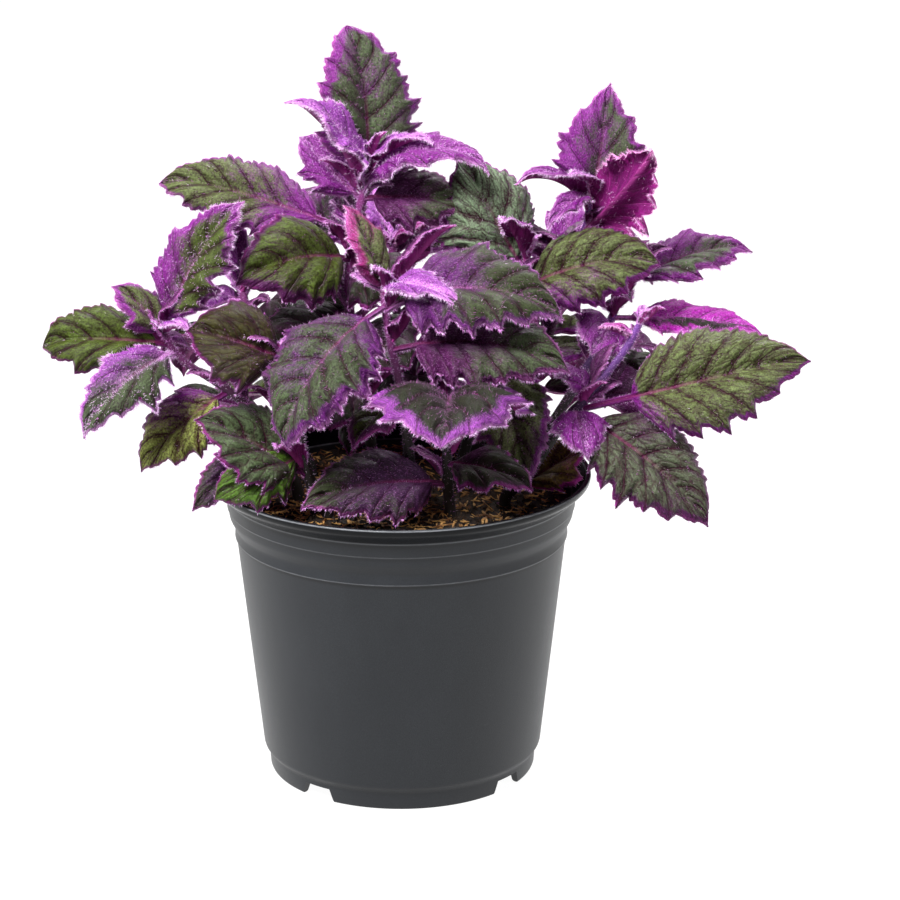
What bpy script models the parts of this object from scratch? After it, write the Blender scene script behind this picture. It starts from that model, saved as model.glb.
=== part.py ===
"""Potted purple passion plant (Gynura): twelve leafy shoots in a round nursery pot.

The origin is the middle of the pot's underside, +Z is up and the front is towards -Y.
Each shoot is one body: a stem with its toothed leaves fused to it.
"""

import math
from collections import namedtuple

import bmesh
import bpy
import numpy as np
from mathutils import Vector
from mathutils.bvhtree import BVHTree

MM = 0.001

# Pot, in millimetres: a thin moulded shell, 140 across its lip
POT_SIDES = 36
POT_HEIGHT = 114.0
LIP_RADIUS = 70.0
BAND_RADIUS = 64.3
BODY_TOP_RADIUS = 61.0
BODY_FOOT_RADIUS = 52.0
FOOT_RADIUS = 49.7
WALL = 1.7
FOOT_HEIGHT = 9.0
BAND_HEIGHT = 94.5
FLOOR_UNDERSIDE = 6.8
HUB_RADIUS = 8.0
NOTCH_ANGLES = (-128.0, -38.0, 52.0, 142.0)
NOTCH_WIDTH = 16.0
NOTCH_HEIGHT = 5.0
DRAIN_RADIUS = 4.5
DRAIN_RING = 37.0

# Soil, in millimetres
GAP = 0.3
SOIL_LEVEL = 104.0
SOIL_MOUND = 1.6
SOIL_RELIEF = 0.6
SOIL_RINGS = (15.0, 30.0, 43.0, 54.0)

# Stems and leaves, in millimetres
ROOT_DEPTH = 12.0
STEM_FOOT_RADIUS = 2.4
STEM_TIP_RADIUS = 1.2
STEM_SIDES = 6
STEM_STEP = 13.0
TOOTH_SPACING = 11.5
BLADE = 0.75
STALK_HALF_WIDTH = 1.3
TIP_HALF_WIDTH = 0.4
TOOTH_DEPTH = 0.17
TOOTH_LEAN = 0.2
CLEARANCE = 0.55
NUDGES = (2.0, 4.0, 7.0, 10.0, 14.0, 19.0, 25.0)
SHORTER = (1.0, 0.85, 0.7, 0.55)

Shoot = namedtuple("Shoot", "name ground stem leaves")
Leaf = namedtuple("Leaf", "height x y z width droop roll fold")

# ground: x, y where the stem leaves the soil. stem: points up to its tip.
# Each leaf: height of its node on the stem, its tip x, y, z, its width, and in degrees
# how far it arches over, how far it turns on its midrib and how far its halves fold up.
SHOOTS = (
    Shoot("tall_shoot", (-10, 14), ((-13, 15, 130), (-19, 16, 170), (-17.5, 15, 198),
                                    (-13, 15, 216), (-12, 14, 228)), (
        Leaf(222, -18, 27, 275, 38, 12, 0, 14),
        Leaf(214, 34, -4, 229, 20, 98, 25, 20),
        Leaf(216, -39, 2, 254, 22, 45, -40, 42),
        Leaf(212, -37, 26, 235, 20, 30, -50, 25),
        Leaf(227, -6, 8, 240, 7, 10, 0, 38),
        Leaf(222, 12, -1, 239, 9, 60, 20, 38),
        Leaf(210, 24, 36, 230, 15, 80, 0, 25),
        Leaf(213, 26, 6, 214, 24, 40, 50, 14),
        Leaf(190, -59, -14, 190, 36, 50, -50, 14),
        Leaf(200, -89, 30, 219, 28, 10, -50, 14),
        Leaf(196, -43, 48, 207, 26, 35, -45, 14),
        Leaf(184, 6, -8, 181, 28, 40, 30, 14),
        Leaf(168, -56, -12, 160, 26, 40, -30, 14),
        Leaf(162, 4, -8, 156, 34, 40, 20, 14),
        Leaf(150, -46, 62, 140, 32, 40, 0, 14),
        Leaf(172, -2, 60, 176, 32, 40, 0, 14),
        Leaf(134, 22, 46, 130, 28, 40, 0, 14),
        Leaf(140, -42, -14, 134, 30, 40, -20, 14),
    )),
    Shoot("front_shoot", (2, -22), ((4, -26, 120), (0, -29, 155), (-4, -30, 176), (-5, -30, 190)), (
        Leaf(184, -42, -62, 142, 41, 48, -12, 12),
        Leaf(182, 59, -46, 186, 36, 82, 38, 16),
        Leaf(187, -18, -22, 220, 21, 14, 0, 24),
        Leaf(188, 23, -57, 191, 15, 70, 20, 34),
        Leaf(188, 19, -20, 213, 14, 30, -50, 28),
        Leaf(168, 61, -52, 169, 34, 42, 45, 12),
        Leaf(150, -17, -52, 139, 18, 40, 0, 14),
    )),
    Shoot("centre_shoot", (20, 0), ((26, 3, 130), (34, 5, 160), (43, 6, 184), (47, 7, 196)), (
        Leaf(188, 22, 10, 230, 36, 22, -58, 12),
        Leaf(180, 93, -10, 198, 32, 42, 52, 14),
        Leaf(158, 46, -36, 119, 28, 30, 20, 14),
        Leaf(192, 37, -14, 213, 12, 40, 0, 30),
        Leaf(165, 4, 6, 150, 26, 50, 0, 14),
        Leaf(136, 2, -10, 128, 30, 40, 10, 14),
    )),
    Shoot("right_tall_shoot", (24, 16), ((34, 19, 130), (52, 22, 170), (66, 22, 196), (70, 21, 212)), (
        Leaf(208, 76, 30, 254, 31, 40, 30, 16),
        Leaf(198, 89, -19, 239, 27, 25, -75, 20),
        Leaf(206, 41, 5, 222, 11, 90, -10, 38),
        Leaf(210, 52, -2, 206, 10, 90, -20, 28),
        Leaf(211, 61, 6, 225, 9, 60, -20, 28),
        Leaf(186, 84, 62, 192, 26, 45, 0, 16),
        Leaf(188, 33, 22, 200, 20, 40, -20, 16),
        Leaf(160, 30, 62, 168, 32, 45, 0, 14),
        Leaf(146, 78, 46, 146, 30, 40, 0, 14),
    )),
    Shoot("left_shoot", (-38, -6), ((-42, -8, 118), (-52, -11, 138), (-63, -13, 149),
                                    (-79, -15, 161), (-86, -15, 172)), (
        Leaf(166, -128, -24, 170, 26, 44, -50, 14),
        Leaf(163, -113, -50, 143, 22, 74, -36, 16),
        Leaf(170, -57, -10, 219, 28, 20, 48, 20),
        Leaf(169, -102, -16, 189, 17, 30, -50, 20),
        Leaf(171, -74, -28, 175, 9, 60, 0, 28),
        Leaf(148, -95, -26, 123, 26, 25, -40, 14),
        Leaf(134, -74, -42, 113, 19, 30, -50, 16),
        Leaf(166, -108, 22, 156, 26, 50, 30, 16),
        Leaf(140, -88, 28, 124, 30, 45, 20, 14),
    )),
    Shoot("left_low_shoot", (-26, -30), ((-30, -32, 112), (-34, -33, 130), (-38, -31, 150),
                                         (-41, -28, 166)), (
        Leaf(122, -71, -40, 148, 32, 24, -45, 12),
        Leaf(130, -67, -45, 118, 22, 35, -50, 12),
        Leaf(164, -75, -34, 178, 34, 42, -50, 12),
    )),
    Shoot("right_low_shoot", (38, -16), ((46, -19, 118), (58, -23, 138), (66, -25, 148),
                                         (80, -24, 166), (86, -23, 177)), (
        Leaf(144, 146, -34, 168, 38, 38, 58, 12),
        Leaf(144, 111, -52, 111, 35, 34, 38, 12),
        Leaf(168, 94, 4, 154, 16, 50, 30, 16),
        Leaf(150, 93, 0, 142, 28, 40, 40, 16),
        Leaf(144, 67, -46, 133, 19, 60, 0, 20),
        Leaf(150, 55, -20, 159, 18, 50, 0, 20),
        Leaf(172, 71, -24, 176, 8, 20, 0, 28),
        Leaf(113, 68, -10, 130, 24, -20, 30, 14),
    )),
    Shoot("right_shoot", (42, 6), ((56, 8, 130), (73, 8, 160), (82, 7, 184)), (
        Leaf(182, 130, 26, 193, 24, 34, 25, 16),
        Leaf(170, 135, 8, 165, 24, 14, 12, 14),
        Leaf(168, 69, -14, 163, 24, 40, -30, 20),
        Leaf(180, 92, 50, 182, 26, 50, 0, 18),
        Leaf(150, 112, 34, 134, 32, 45, 0, 14),
        Leaf(128, 88, 16, 116, 28, 40, 0, 14),
    )),
    Shoot("front_low_shoot", (18, -26), ((17, -30, 120), (17, -34, 145), (18, -38, 158)), (
        Leaf(150, 15, -92, 148, 50, 70, 0, 6),
        Leaf(118, -35, -53, 119, 30, 26, -38, 12),
        Leaf(126, 48, -50, 124, 22, 45, 20, 14),
    )),
    Shoot("back_left_shoot", (-34, 20), ((-44, 26, 124), (-54, 34, 150), (-60, 40, 172)), (
        Leaf(170, -48, 94, 178, 34, 45, 0, 14),
        Leaf(168, -98, 62, 152, 30, 45, 0, 14),
        Leaf(171, -66, 44, 205, 17, 15, 0, 26),
        Leaf(156, -88, 86, 128, 36, 50, 0, 12),
        Leaf(150, -26, 88, 148, 32, 45, 0, 14),
        Leaf(134, -66, 72, 116, 32, 40, 0, 14),
        Leaf(122, -82, 26, 116, 26, 40, 0, 14),
        Leaf(162, -16, 24, 168, 36, 40, 0, 14),
    )),
    Shoot("back_shoot", (2, 36), ((2, 48, 128), (-2, 58, 155), (-4, 64, 184)), (
        Leaf(182, 2, 114, 192, 36, 40, 0, 14),
        Leaf(179, -44, 94, 182, 32, 45, 0, 14),
        Leaf(177, 46, 92, 180, 32, 45, 0, 14),
        Leaf(183, -14, 78, 206, 18, 12, 0, 24),
        Leaf(183, 12, 60, 194, 13, 35, 0, 28),
        Leaf(160, -28, 118, 150, 38, 50, 0, 12),
        Leaf(157, 32, 116, 144, 36, 50, 0, 12),
        Leaf(140, 0, 110, 120, 36, 45, 0, 14),
        Leaf(126, -32, 84, 114, 28, 40, 0, 14),
        Leaf(128, 32, 84, 116, 28, 40, 0, 14),
        Leaf(150, 30, 36, 160, 32, 40, 0, 14),
        Leaf(134, -21, 20, 114, 30, 40, 0, 14),
    )),
    Shoot("back_right_shoot", (34, 32), ((46, 42, 126), (56, 52, 152), (62, 58, 176)), (
        Leaf(174, 60, 108, 176, 34, 45, 0, 14),
        Leaf(172, 98, 78, 168, 30, 45, 0, 14),
        Leaf(175, 66, 70, 206, 18, 12, 0, 26),
        Leaf(152, 94, 86, 130, 34, 50, 0, 12),
        Leaf(147, 65, 102, 116, 34, 50, 0, 12),
        Leaf(132, 92, 54, 116, 30, 40, 0, 14),
        Leaf(144, 26, 78, 152, 28, 40, 0, 14),
    )),
)

POT_COLOUR = (0.045, 0.047, 0.052, 1.0)
SOIL_COLOUR = (0.060, 0.030, 0.016, 1.0)
LEAF_COLOUR = (0.110, 0.050, 0.120, 1.0)


def material(name, colour, roughness):
    """One plain material for one piece."""
    made = bpy.data.materials.new(name)
    made.use_nodes = True
    surface = made.node_tree.nodes["Principled BSDF"]
    surface.inputs["Base Color"].default_value = colour
    surface.inputs["Roughness"].default_value = roughness
    surface.inputs["Metallic"].default_value = 0.0
    return made


def new_object(name, vertices, faces, surface=None, collection=None):
    """A mesh object from points in millimetres, its faces turned outwards."""
    mesh = bpy.data.meshes.new(name)
    mesh.from_pydata([tuple(float(v) * MM for v in point) for point in vertices], [], faces)
    body = bmesh.new()
    body.from_mesh(mesh)
    bmesh.ops.recalc_face_normals(body, faces=body.faces)
    body.to_mesh(mesh)
    body.free()
    made = bpy.data.objects.new(name, mesh)
    if surface:
        mesh.materials.append(surface)
    (collection or bpy.context.scene.collection).objects.link(made)
    return made


def turned(name, profile, surface=None):
    """A closed profile of (radius, z) points that starts and ends on the axis, turned about Z."""
    rim = profile[1:-1]
    vertices = [(0.0, 0.0, profile[0][1])]
    for radius, z in rim:
        for step in range(POT_SIDES):
            angle = 2.0 * math.pi * step / POT_SIDES
            vertices.append((radius * math.cos(angle), radius * math.sin(angle), z))
    vertices.append((0.0, 0.0, profile[-1][1]))
    last = len(vertices) - 1
    faces = []
    for step in range(POT_SIDES):
        following = (step + 1) % POT_SIDES
        faces.append((0, 1 + step, 1 + following))
        for ring in range(len(rim) - 1):
            low = 1 + ring * POT_SIDES
            high = low + POT_SIDES
            faces.append((low + step, high + step, high + following, low + following))
        top = 1 + (len(rim) - 1) * POT_SIDES
        faces.append((last, top + following, top + step))
    return new_object(name, vertices, faces, surface)


def apply_boolean(body, operation, operand, operand_is_collection=False):
    """Joins or cuts the body once, keeps the result as its mesh and removes the tool."""
    change = body.modifiers.new("join", "BOOLEAN")
    change.operation = operation
    change.solver = "EXACT"
    if operand_is_collection:
        change.operand_type = "COLLECTION"
        change.collection = operand
    else:
        change.object = operand
    bpy.context.view_layer.update()
    evaluated = body.evaluated_get(bpy.context.evaluated_depsgraph_get())
    result = bpy.data.meshes.new_from_object(evaluated)
    body.modifiers.remove(change)
    body.data = result
    if operand_is_collection:
        for tool in list(operand.objects):
            bpy.data.objects.remove(tool)
        bpy.data.collections.remove(operand)
    else:
        bpy.data.objects.remove(operand)


def build_pot():
    """A thin shell with a flared lip, a foot ring with four notches and four drain holes."""
    top = POT_HEIGHT
    outer = (
        (HUB_RADIUS, 0.0), (HUB_RADIUS + 0.6, FLOOR_UNDERSIDE),
        (FOOT_RADIUS - 3.0, FLOOR_UNDERSIDE), (FOOT_RADIUS - 2.5, 0.0),
        (FOOT_RADIUS, 0.0), (FOOT_RADIUS + 0.5, FOOT_HEIGHT - 2.0),
        (BODY_FOOT_RADIUS, FOOT_HEIGHT),
        (BODY_TOP_RADIUS, BAND_HEIGHT - 4.1), (BODY_TOP_RADIUS + 0.5, BAND_HEIGHT - 3.5),
        (BODY_TOP_RADIUS + 0.3, BAND_HEIGHT), (BAND_RADIUS - 0.9, BAND_HEIGHT + 4.0),
        (BAND_RADIUS, top - 7.2), (LIP_RADIUS - 0.6, top - 1.4), (LIP_RADIUS, top - 0.4),
        (LIP_RADIUS - 0.4, top),
    )
    inner = (
        (LIP_RADIUS - 1.6, top), (LIP_RADIUS - 2.2, top - 0.8), (BAND_RADIUS - WALL, top - 7.4),
        (BAND_RADIUS - 0.8 - WALL, BAND_HEIGHT + 4.3), (BODY_TOP_RADIUS + 0.3 - WALL, BAND_HEIGHT + 0.1),
        (BODY_FOOT_RADIUS - WALL + 0.1, FOOT_HEIGHT),
    )
    profile = ((0.0, 0.0),) + outer + inner + ((0.0, FOOT_HEIGHT),)
    pot = turned("pot", profile, material("black_plastic", POT_COLOUR, 0.45))
    for degrees in NOTCH_ANGLES:
        angle = math.radians(degrees)
        out = np.array((math.cos(angle), math.sin(angle), 0.0))
        side = np.array((-math.sin(angle), math.cos(angle), 0.0))
        corners = []
        for z, half in ((-1.0, NOTCH_WIDTH / 2.0 + 0.6), (NOTCH_HEIGHT, NOTCH_WIDTH / 2.0 - 2.4)):
            for radius in (FOOT_RADIUS - 6.0, FOOT_RADIUS + 6.0):
                for across in (-half, half):
                    corners.append(out * radius + side * across + np.array((0.0, 0.0, z)))
        faces = ((0, 1, 3, 2), (4, 6, 7, 5), (0, 4, 5, 1), (2, 3, 7, 6), (0, 2, 6, 4), (1, 5, 7, 3))
        apply_boolean(pot, "DIFFERENCE", new_object("notch", corners, faces))
        drain = round_cutter(out[0] * DRAIN_RING, out[1] * DRAIN_RING, DRAIN_RADIUS,
                             FLOOR_UNDERSIDE - 2.0, FOOT_HEIGHT + 2.0)
        apply_boolean(pot, "DIFFERENCE", drain)
    return pot


def round_cutter(x, y, radius, low, high, sides=12):
    """An upright round bar that cuts a hole."""
    vertices = []
    for z in (low, high):
        for step in range(sides):
            angle = 2.0 * math.pi * step / sides
            vertices.append((x + radius * math.cos(angle), y + radius * math.sin(angle), z))
    faces = [tuple(range(sides)), tuple(range(sides, 2 * sides))]
    for step in range(sides):
        following = (step + 1) % sides
        faces.append((step, following, sides + following, sides + step))
    cutter = new_object("cutter", vertices, faces)
    cutter.hide_render = True
    cutter.display_type = "WIRE"
    return cutter


def soil_height(x, y):
    """The soil's surface: a low mound with small waves."""
    mound = SOIL_MOUND * (1.0 - (x * x + y * y) / (BAND_RADIUS * BAND_RADIUS))
    waves = math.sin(0.33 * x + 1.0) * math.cos(0.29 * y) + 0.5 * math.sin(0.21 * x - 0.45 * y)
    return SOIL_LEVEL + mound + SOIL_RELIEF * waves


def build_soil():
    """The soil fills the pot to 10 below its lip, with a plain hole for each stem."""
    inside = BODY_TOP_RADIUS + 0.3 - WALL
    wall = ((BODY_FOOT_RADIUS - WALL - 0.3, FOOT_HEIGHT + 0.4), (inside - 0.4, BAND_HEIGHT),
            (BAND_RADIUS - 0.8 - WALL - 0.4, BAND_HEIGHT + 4.4))
    edge = BAND_RADIUS - WALL - 0.8
    profile = ((0.0, FOOT_HEIGHT + 0.4),) + wall + ((edge, SOIL_LEVEL),)
    profile += tuple((radius, SOIL_LEVEL) for radius in reversed(SOIL_RINGS)) + ((0.0, SOIL_LEVEL),)
    soil = turned("soil", profile, material("peat_soil", SOIL_COLOUR, 0.95))
    for vertex in soil.data.vertices:
        if vertex.co.z > (SOIL_LEVEL - 0.01) * MM:
            vertex.co.z = soil_height(vertex.co.x / MM, vertex.co.y / MM) * MM
    mesh = soil.data
    body = bmesh.new()
    body.from_mesh(mesh)
    bmesh.ops.triangulate(body, faces=body.faces)
    body.to_mesh(mesh)
    body.free()
    for shoot in SHOOTS:
        hole = round_cutter(shoot.ground[0], shoot.ground[1], STEM_FOOT_RADIUS + 0.45,
                            SOIL_LEVEL - ROOT_DEPTH - GAP, SOIL_LEVEL + 8.0, STEM_SIDES)
        apply_boolean(soil, "DIFFERENCE", hole)
    return soil


def stem_path(shoot):
    """Close points up the stem: upright in the soil, then a smooth curve through its own points."""
    foot = np.array((shoot.ground[0], shoot.ground[1], SOIL_LEVEL - ROOT_DEPTH), float)
    collar = np.array((shoot.ground[0], shoot.ground[1], SOIL_LEVEL + 4.0), float)
    knots = [foot, collar] + [np.array(point, float) for point in shoot.stem]
    knots.append(2.0 * knots[-1] - knots[-2])
    path = [foot, (foot + collar) / 2.0]
    for first, second, third, fourth in zip(knots, knots[1:], knots[2:], knots[3:]):
        for step in range(12):
            t = step / 12.0
            path.append(0.5 * (2.0 * second + (third - first) * t
                               + (2.0 * first - 5.0 * second + 4.0 * third - fourth) * t ** 2
                               + (3.0 * second - first - 3.0 * third + fourth) * t ** 3))
    path.append(knots[-2])
    return np.array(path)


def point_at_height(path, height):
    """The point of the stem at this height."""
    upper = int(np.clip(np.searchsorted(path[:, 2], height), 1, len(path) - 1))
    low, high = path[upper - 1], path[upper]
    share = min(max((height - low[2]) / (high[2] - low[2]), 0.0), 1.0)
    return low + (high - low) * share


def tube(path, foot_radius, tip_radius):
    """Vertices and faces of a tapering round stem with a pointed tip."""
    lengths = np.concatenate(([0.0], np.cumsum(np.linalg.norm(np.diff(path, axis=0), axis=1))))
    rings = max(4, int(round(lengths[-1] / STEM_STEP)))
    places = [0.0, SOIL_LEVEL + 3.0 - path[0][2]]
    places += list(np.linspace(places[1], lengths[-1], rings)[1:])
    centres = [np.array([np.interp(place, lengths, path[:, axis]) for axis in range(3)])
               for place in places]
    vertices = []
    side = np.array((1.0, 0.0, 0.0))
    for index, centre in enumerate(centres):
        before = centres[max(index - 1, 0)]
        after = centres[min(index + 1, len(centres) - 1)]
        along = (after - before) / np.linalg.norm(after - before)
        if index < 2:
            along = np.array((0.0, 0.0, 1.0))
        side = side - along * side.dot(along)
        side = side / np.linalg.norm(side)
        other = np.cross(along, side)
        radius = foot_radius + (tip_radius - foot_radius) * places[index] / lengths[-1]
        for step in range(STEM_SIDES):
            angle = 2.0 * math.pi * (step + 0.5) / STEM_SIDES
            vertices.append(centre + radius * (side * math.cos(angle) + other * math.sin(angle)))
    tip = centres[-1] + (centres[-1] - centres[-2]) / np.linalg.norm(centres[-1] - centres[-2]) * tip_radius
    vertices.append(tip)
    faces = [tuple(range(STEM_SIDES))]
    for ring in range(len(centres) - 1):
        low = ring * STEM_SIDES
        for step in range(STEM_SIDES):
            following = (step + 1) % STEM_SIDES
            faces.append((low + step, low + following, low + STEM_SIDES + following))
            faces.append((low + step, low + STEM_SIDES + following, low + STEM_SIDES + step))
    low = (len(centres) - 1) * STEM_SIDES
    for step in range(STEM_SIDES):
        faces.append((low + step, low + (step + 1) % STEM_SIDES, len(vertices) - 1))
    return vertices, faces


def leaf_rows(length):
    """Rows down a blade as (place 0 to 1, share of half width, forward lean) and the stalk's share."""
    stalk = 0.12 + 0.005 * max(0.0, length - 60.0)
    teeth = int(min(max(round(length / TOOTH_SPACING), 2), 6))
    rows = [(0.0, 1.0, 0.0), (stalk, 1.0, 0.0)]
    for tooth in range(teeth):
        notch = stalk + (1.0 - stalk) * (0.05 + 0.9 * tooth / teeth)
        point = stalk + (1.0 - stalk) * (0.05 + 0.9 * (tooth + 0.72) / teeth)
        if tooth:
            rows.append((notch, 1.0 - TOOTH_DEPTH / 2.0, 0.0))
        rows.append((point, 1.0 + TOOTH_DEPTH / 2.0, TOOTH_LEAN * TOOTH_DEPTH))
    rows.append((1.0, 0.0, 0.0))
    return rows, stalk


def blade(leaf, base, tip, swell=0.0, start=0.0):
    """Vertices and faces of one toothed leaf: an arched, folded blade with the same triangles above
    and below. swell makes it larger all round, and start leaves out the part nearest the stem."""
    length = np.linalg.norm(tip - base)
    along = (tip - base) / length
    up = np.array((0.0, 0.0, 1.0)) - along * along[2]
    if np.linalg.norm(up) < 0.15:
        up = np.array((0.0, -1.0, 0.0)) - along * -along[1]
    up = up / np.linalg.norm(up)
    roll = math.radians(leaf.roll)
    face = up * math.cos(roll) + np.cross(along, up) * math.sin(roll)
    across = np.cross(along, face)
    bend = math.radians(leaf.droop)
    arc = length * bend / (2.0 * math.sin(bend / 2.0))
    fold = math.radians(leaf.fold)
    rows, stalk = leaf_rows(length)
    upper, lower = [], []
    for place, share, lean in rows:
        if place < start:
            continue
        slope = bend * (0.5 - place)
        run = arc / bend * (math.sin(bend / 2.0) - math.sin(slope))
        rise = arc / bend * (math.cos(slope) - math.cos(bend / 2.0))
        tangent = along * math.cos(slope) + face * math.sin(slope)
        normal = face * math.cos(slope) - along * math.sin(slope)
        middle = base + along * run + face * rise
        t = min(max((place - stalk) / (1.0 - stalk), 0.0), 1.0)
        half = leaf.width / 2.0 * share * t ** 0.62 * (1.0 - t) ** 1.1 / 0.325
        if place < 0.3:
            half = max(half, STALK_HALF_WIDTH)
        half = max(half, TIP_HALF_WIDTH) + swell
        if place == 1.0:
            middle = middle + tangent * swell
        for sign in (-1.0, 0.0, 1.0):
            edge = across * sign * half * math.cos(fold) + normal * half * math.sin(fold) * abs(sign)
            point = middle + edge + tangent * lean * leaf.width / 2.0 * abs(sign)
            thick = BLADE / math.cos(fold)
            upper.append(point + normal * swell)
            lower.append(point - normal * (thick + swell))
    count = len(upper) // 3
    total = len(upper)
    faces = []
    for row in range(count - 1):
        for column in (0, 1):
            a = row * 3 + column
            b, c, d = a + 1, a + 4, a + 3
            if column == 0:
                triangles = ((a, b, c), (a, c, d))
            else:
                triangles = ((a, b, d), (b, c, d))
            for first, second, third in triangles:
                faces.append((first, second, third))
                faces.append((third + total, second + total, first + total))
        for a, b in ((row * 3, row * 3 + 3), (row * 3 + 5, row * 3 + 2)):
            faces.append((a, b, b + total))
            faces.append((a, b + total, a + total))
    end = (count - 1) * 3
    for a, b in ((1, 0), (2, 1), (end, end + 1), (end + 1, end + 2)):
        faces.append((a, b, b + total))
        faces.append((a, b + total, a + total))
    return upper + lower, faces


def tree(vertices, faces):
    """A search tree of one mesh, to find what it crosses."""
    return BVHTree.FromPolygons([Vector(v) for v in vertices], faces)


def tree_of(body):
    """The same for an object, in millimetres."""
    vertices = [vertex.co / MM for vertex in body.data.vertices]
    return BVHTree.FromPolygons(vertices, [tuple(p.vertices) for p in body.data.polygons])


def leaf_tips(leaf, base):
    """The leaf's own tip first, then tips moved a little further each time and shorter leaves."""
    tip = np.array((leaf.x, leaf.y, leaf.z), float)
    length = np.linalg.norm(tip - base)
    yield tip
    ways = ((0, -0.95, 0.3), (0, 0.95, -0.3), (0, 0, 1), (0, 0, -1), (-1, 0, 0), (1, 0, 0),
            (-0.7, 0, 0.7), (0.7, 0, 0.7), (-0.7, 0, -0.7), (0.7, 0, -0.7))
    for share in SHORTER:
        for nudge in NUDGES:
            for way in ways:
                moved = tip + nudge * np.array(way) - base
                yield base + moved / np.linalg.norm(moved) * length * share


def place_leaves(obstacles, paths):
    """Tips of all leaves. Each is bent clear of the pot, the soil, the other shoots and, past its
    own stalk, of the leaves before it on its shoot, as far as that can be done."""
    placed = {shoot.name: [] for shoot in SHOOTS}
    own = {shoot.name: [] for shoot in SHOOTS}
    others = {shoot.name: list(obstacles["fixed"]) for shoot in SHOOTS}
    for shoot in SHOOTS:
        for name in others:
            if name != shoot.name:
                others[name].append(obstacles[shoot.name])
    for shoot in SHOOTS:
        for leaf in shoot.leaves:
            base = point_at_height(paths[shoot.name], leaf.height)
            fallback = None
            chosen = None
            for tip in leaf_tips(leaf, base):
                whole = tree(*blade(leaf, base, tip, CLEARANCE))
                if any(whole.overlap(other) for other in others[shoot.name]):
                    continue
                if fallback is None:
                    fallback = tip
                outer = tree(*blade(leaf, base, tip, CLEARANCE, 0.3))
                if not any(outer.overlap(other) for other in own[shoot.name]):
                    chosen = tip
                    break
            if chosen is None:
                chosen = fallback
            if chosen is None:
                continue
            placed[shoot.name].append((leaf, base, chosen))
            own[shoot.name].append(tree(*blade(leaf, base, chosen, 0.0, 0.3)))
            body = tree(*blade(leaf, base, chosen))
            for name in others:
                if name != shoot.name:
                    others[name].append(body)
    return placed


def keep_one_body(shoot):
    """Fills hollows that the fusing sealed and drops loose scraps: only the largest body stays."""
    body = bmesh.new()
    body.from_mesh(shoot.data)
    bmesh.ops.triangulate(body, faces=body.faces)
    seen = set()
    groups = []
    for start in body.verts:
        if start.index in seen:
            continue
        group = [start]
        seen.add(start.index)
        for vertex in group:
            for edge in vertex.link_edges:
                neighbour = edge.other_vert(vertex)
                if neighbour.index not in seen:
                    seen.add(neighbour.index)
                    group.append(neighbour)
        groups.append(group)
    groups.sort(key=len)
    for group in groups[:-1]:
        bmesh.ops.delete(body, geom=group, context="VERTS")
    body.to_mesh(shoot.data)
    body.free()


def build_shoot(shoot, path, placed):
    """One stem with its leaves fused to it."""
    surface = material(shoot.name + "_leaf", LEAF_COLOUR, 0.7)
    vertices, faces = tube(path, STEM_FOOT_RADIUS, STEM_TIP_RADIUS)
    made = new_object(shoot.name, vertices, faces, surface)
    leaves = bpy.data.collections.new(shoot.name + "_leaves")
    bpy.context.scene.collection.children.link(leaves)
    for leaf, base, tip in placed:
        vertices, faces = blade(leaf, base, tip)
        new_object("leaf", vertices, faces, surface, leaves)
    apply_boolean(made, "UNION", leaves, operand_is_collection=True)
    keep_one_body(made)
    return made


def main():
    for old in list(bpy.data.objects):
        bpy.data.objects.remove(old)
    pot = build_pot()
    soil = build_soil()
    paths = {shoot.name: stem_path(shoot) for shoot in SHOOTS}
    obstacles = {"fixed": [tree_of(pot), tree_of(soil)]}
    for shoot in SHOOTS:
        obstacles[shoot.name] = tree(*tube(paths[shoot.name], STEM_FOOT_RADIUS + CLEARANCE,
                                           STEM_TIP_RADIUS + CLEARANCE))
    placed = place_leaves(obstacles, paths)
    for shoot in SHOOTS:
        build_shoot(shoot, paths[shoot.name], placed[shoot.name])
    for body in (pot, soil):
        body.data.shade_smooth()
        body.data.set_sharp_from_angle(angle=math.radians(30.0))


main()
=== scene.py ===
"""The potted purple passion plant (Gynura), dressed: fine leaves, stems, hairs, soil and pot.

It follows the object from the pot up. Sizes are in millimetres unless a name says otherwise.
"""

import math
from collections import namedtuple

import bpy
import numpy as np
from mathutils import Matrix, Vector


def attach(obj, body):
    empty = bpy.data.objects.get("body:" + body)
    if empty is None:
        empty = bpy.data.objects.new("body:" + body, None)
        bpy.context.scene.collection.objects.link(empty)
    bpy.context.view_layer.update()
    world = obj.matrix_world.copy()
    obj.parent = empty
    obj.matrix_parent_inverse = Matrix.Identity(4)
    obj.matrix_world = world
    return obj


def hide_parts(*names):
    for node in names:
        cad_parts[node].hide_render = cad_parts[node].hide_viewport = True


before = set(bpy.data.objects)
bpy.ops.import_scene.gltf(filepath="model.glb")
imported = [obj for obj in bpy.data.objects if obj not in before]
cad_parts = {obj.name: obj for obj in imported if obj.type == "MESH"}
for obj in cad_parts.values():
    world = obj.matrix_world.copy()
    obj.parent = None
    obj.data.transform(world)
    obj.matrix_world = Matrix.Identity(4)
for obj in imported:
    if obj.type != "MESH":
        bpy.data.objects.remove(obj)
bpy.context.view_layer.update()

# The studio: a camera a little above the plant, a white floor that reaches past the view and glows so
# that it stays white beside the pot, a dim white room and three soft lamps, the strongest at the upper
# left. The floor lights the plant less than it shows to the camera, or the leaves would be lit from below.
MM = 0.001
AIM = Vector((18.0, 0.0, 121.8)) * MM
CAMERA_DISTANCE = 1.146
CAMERA_HEIGHT_DEGREES = 17.2
FOCAL_LENGTH = 124.6
FLOOR_SIZE = 14.0
ROOM_STRENGTH = 0.085
FLOOR_GLOW = 0.97
FLOOR_FILL = 0.24
FLOOR_COLOUR = (0.08, 0.08, 0.08)
WHITE = (1.0, 1.0, 1.0)
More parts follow.
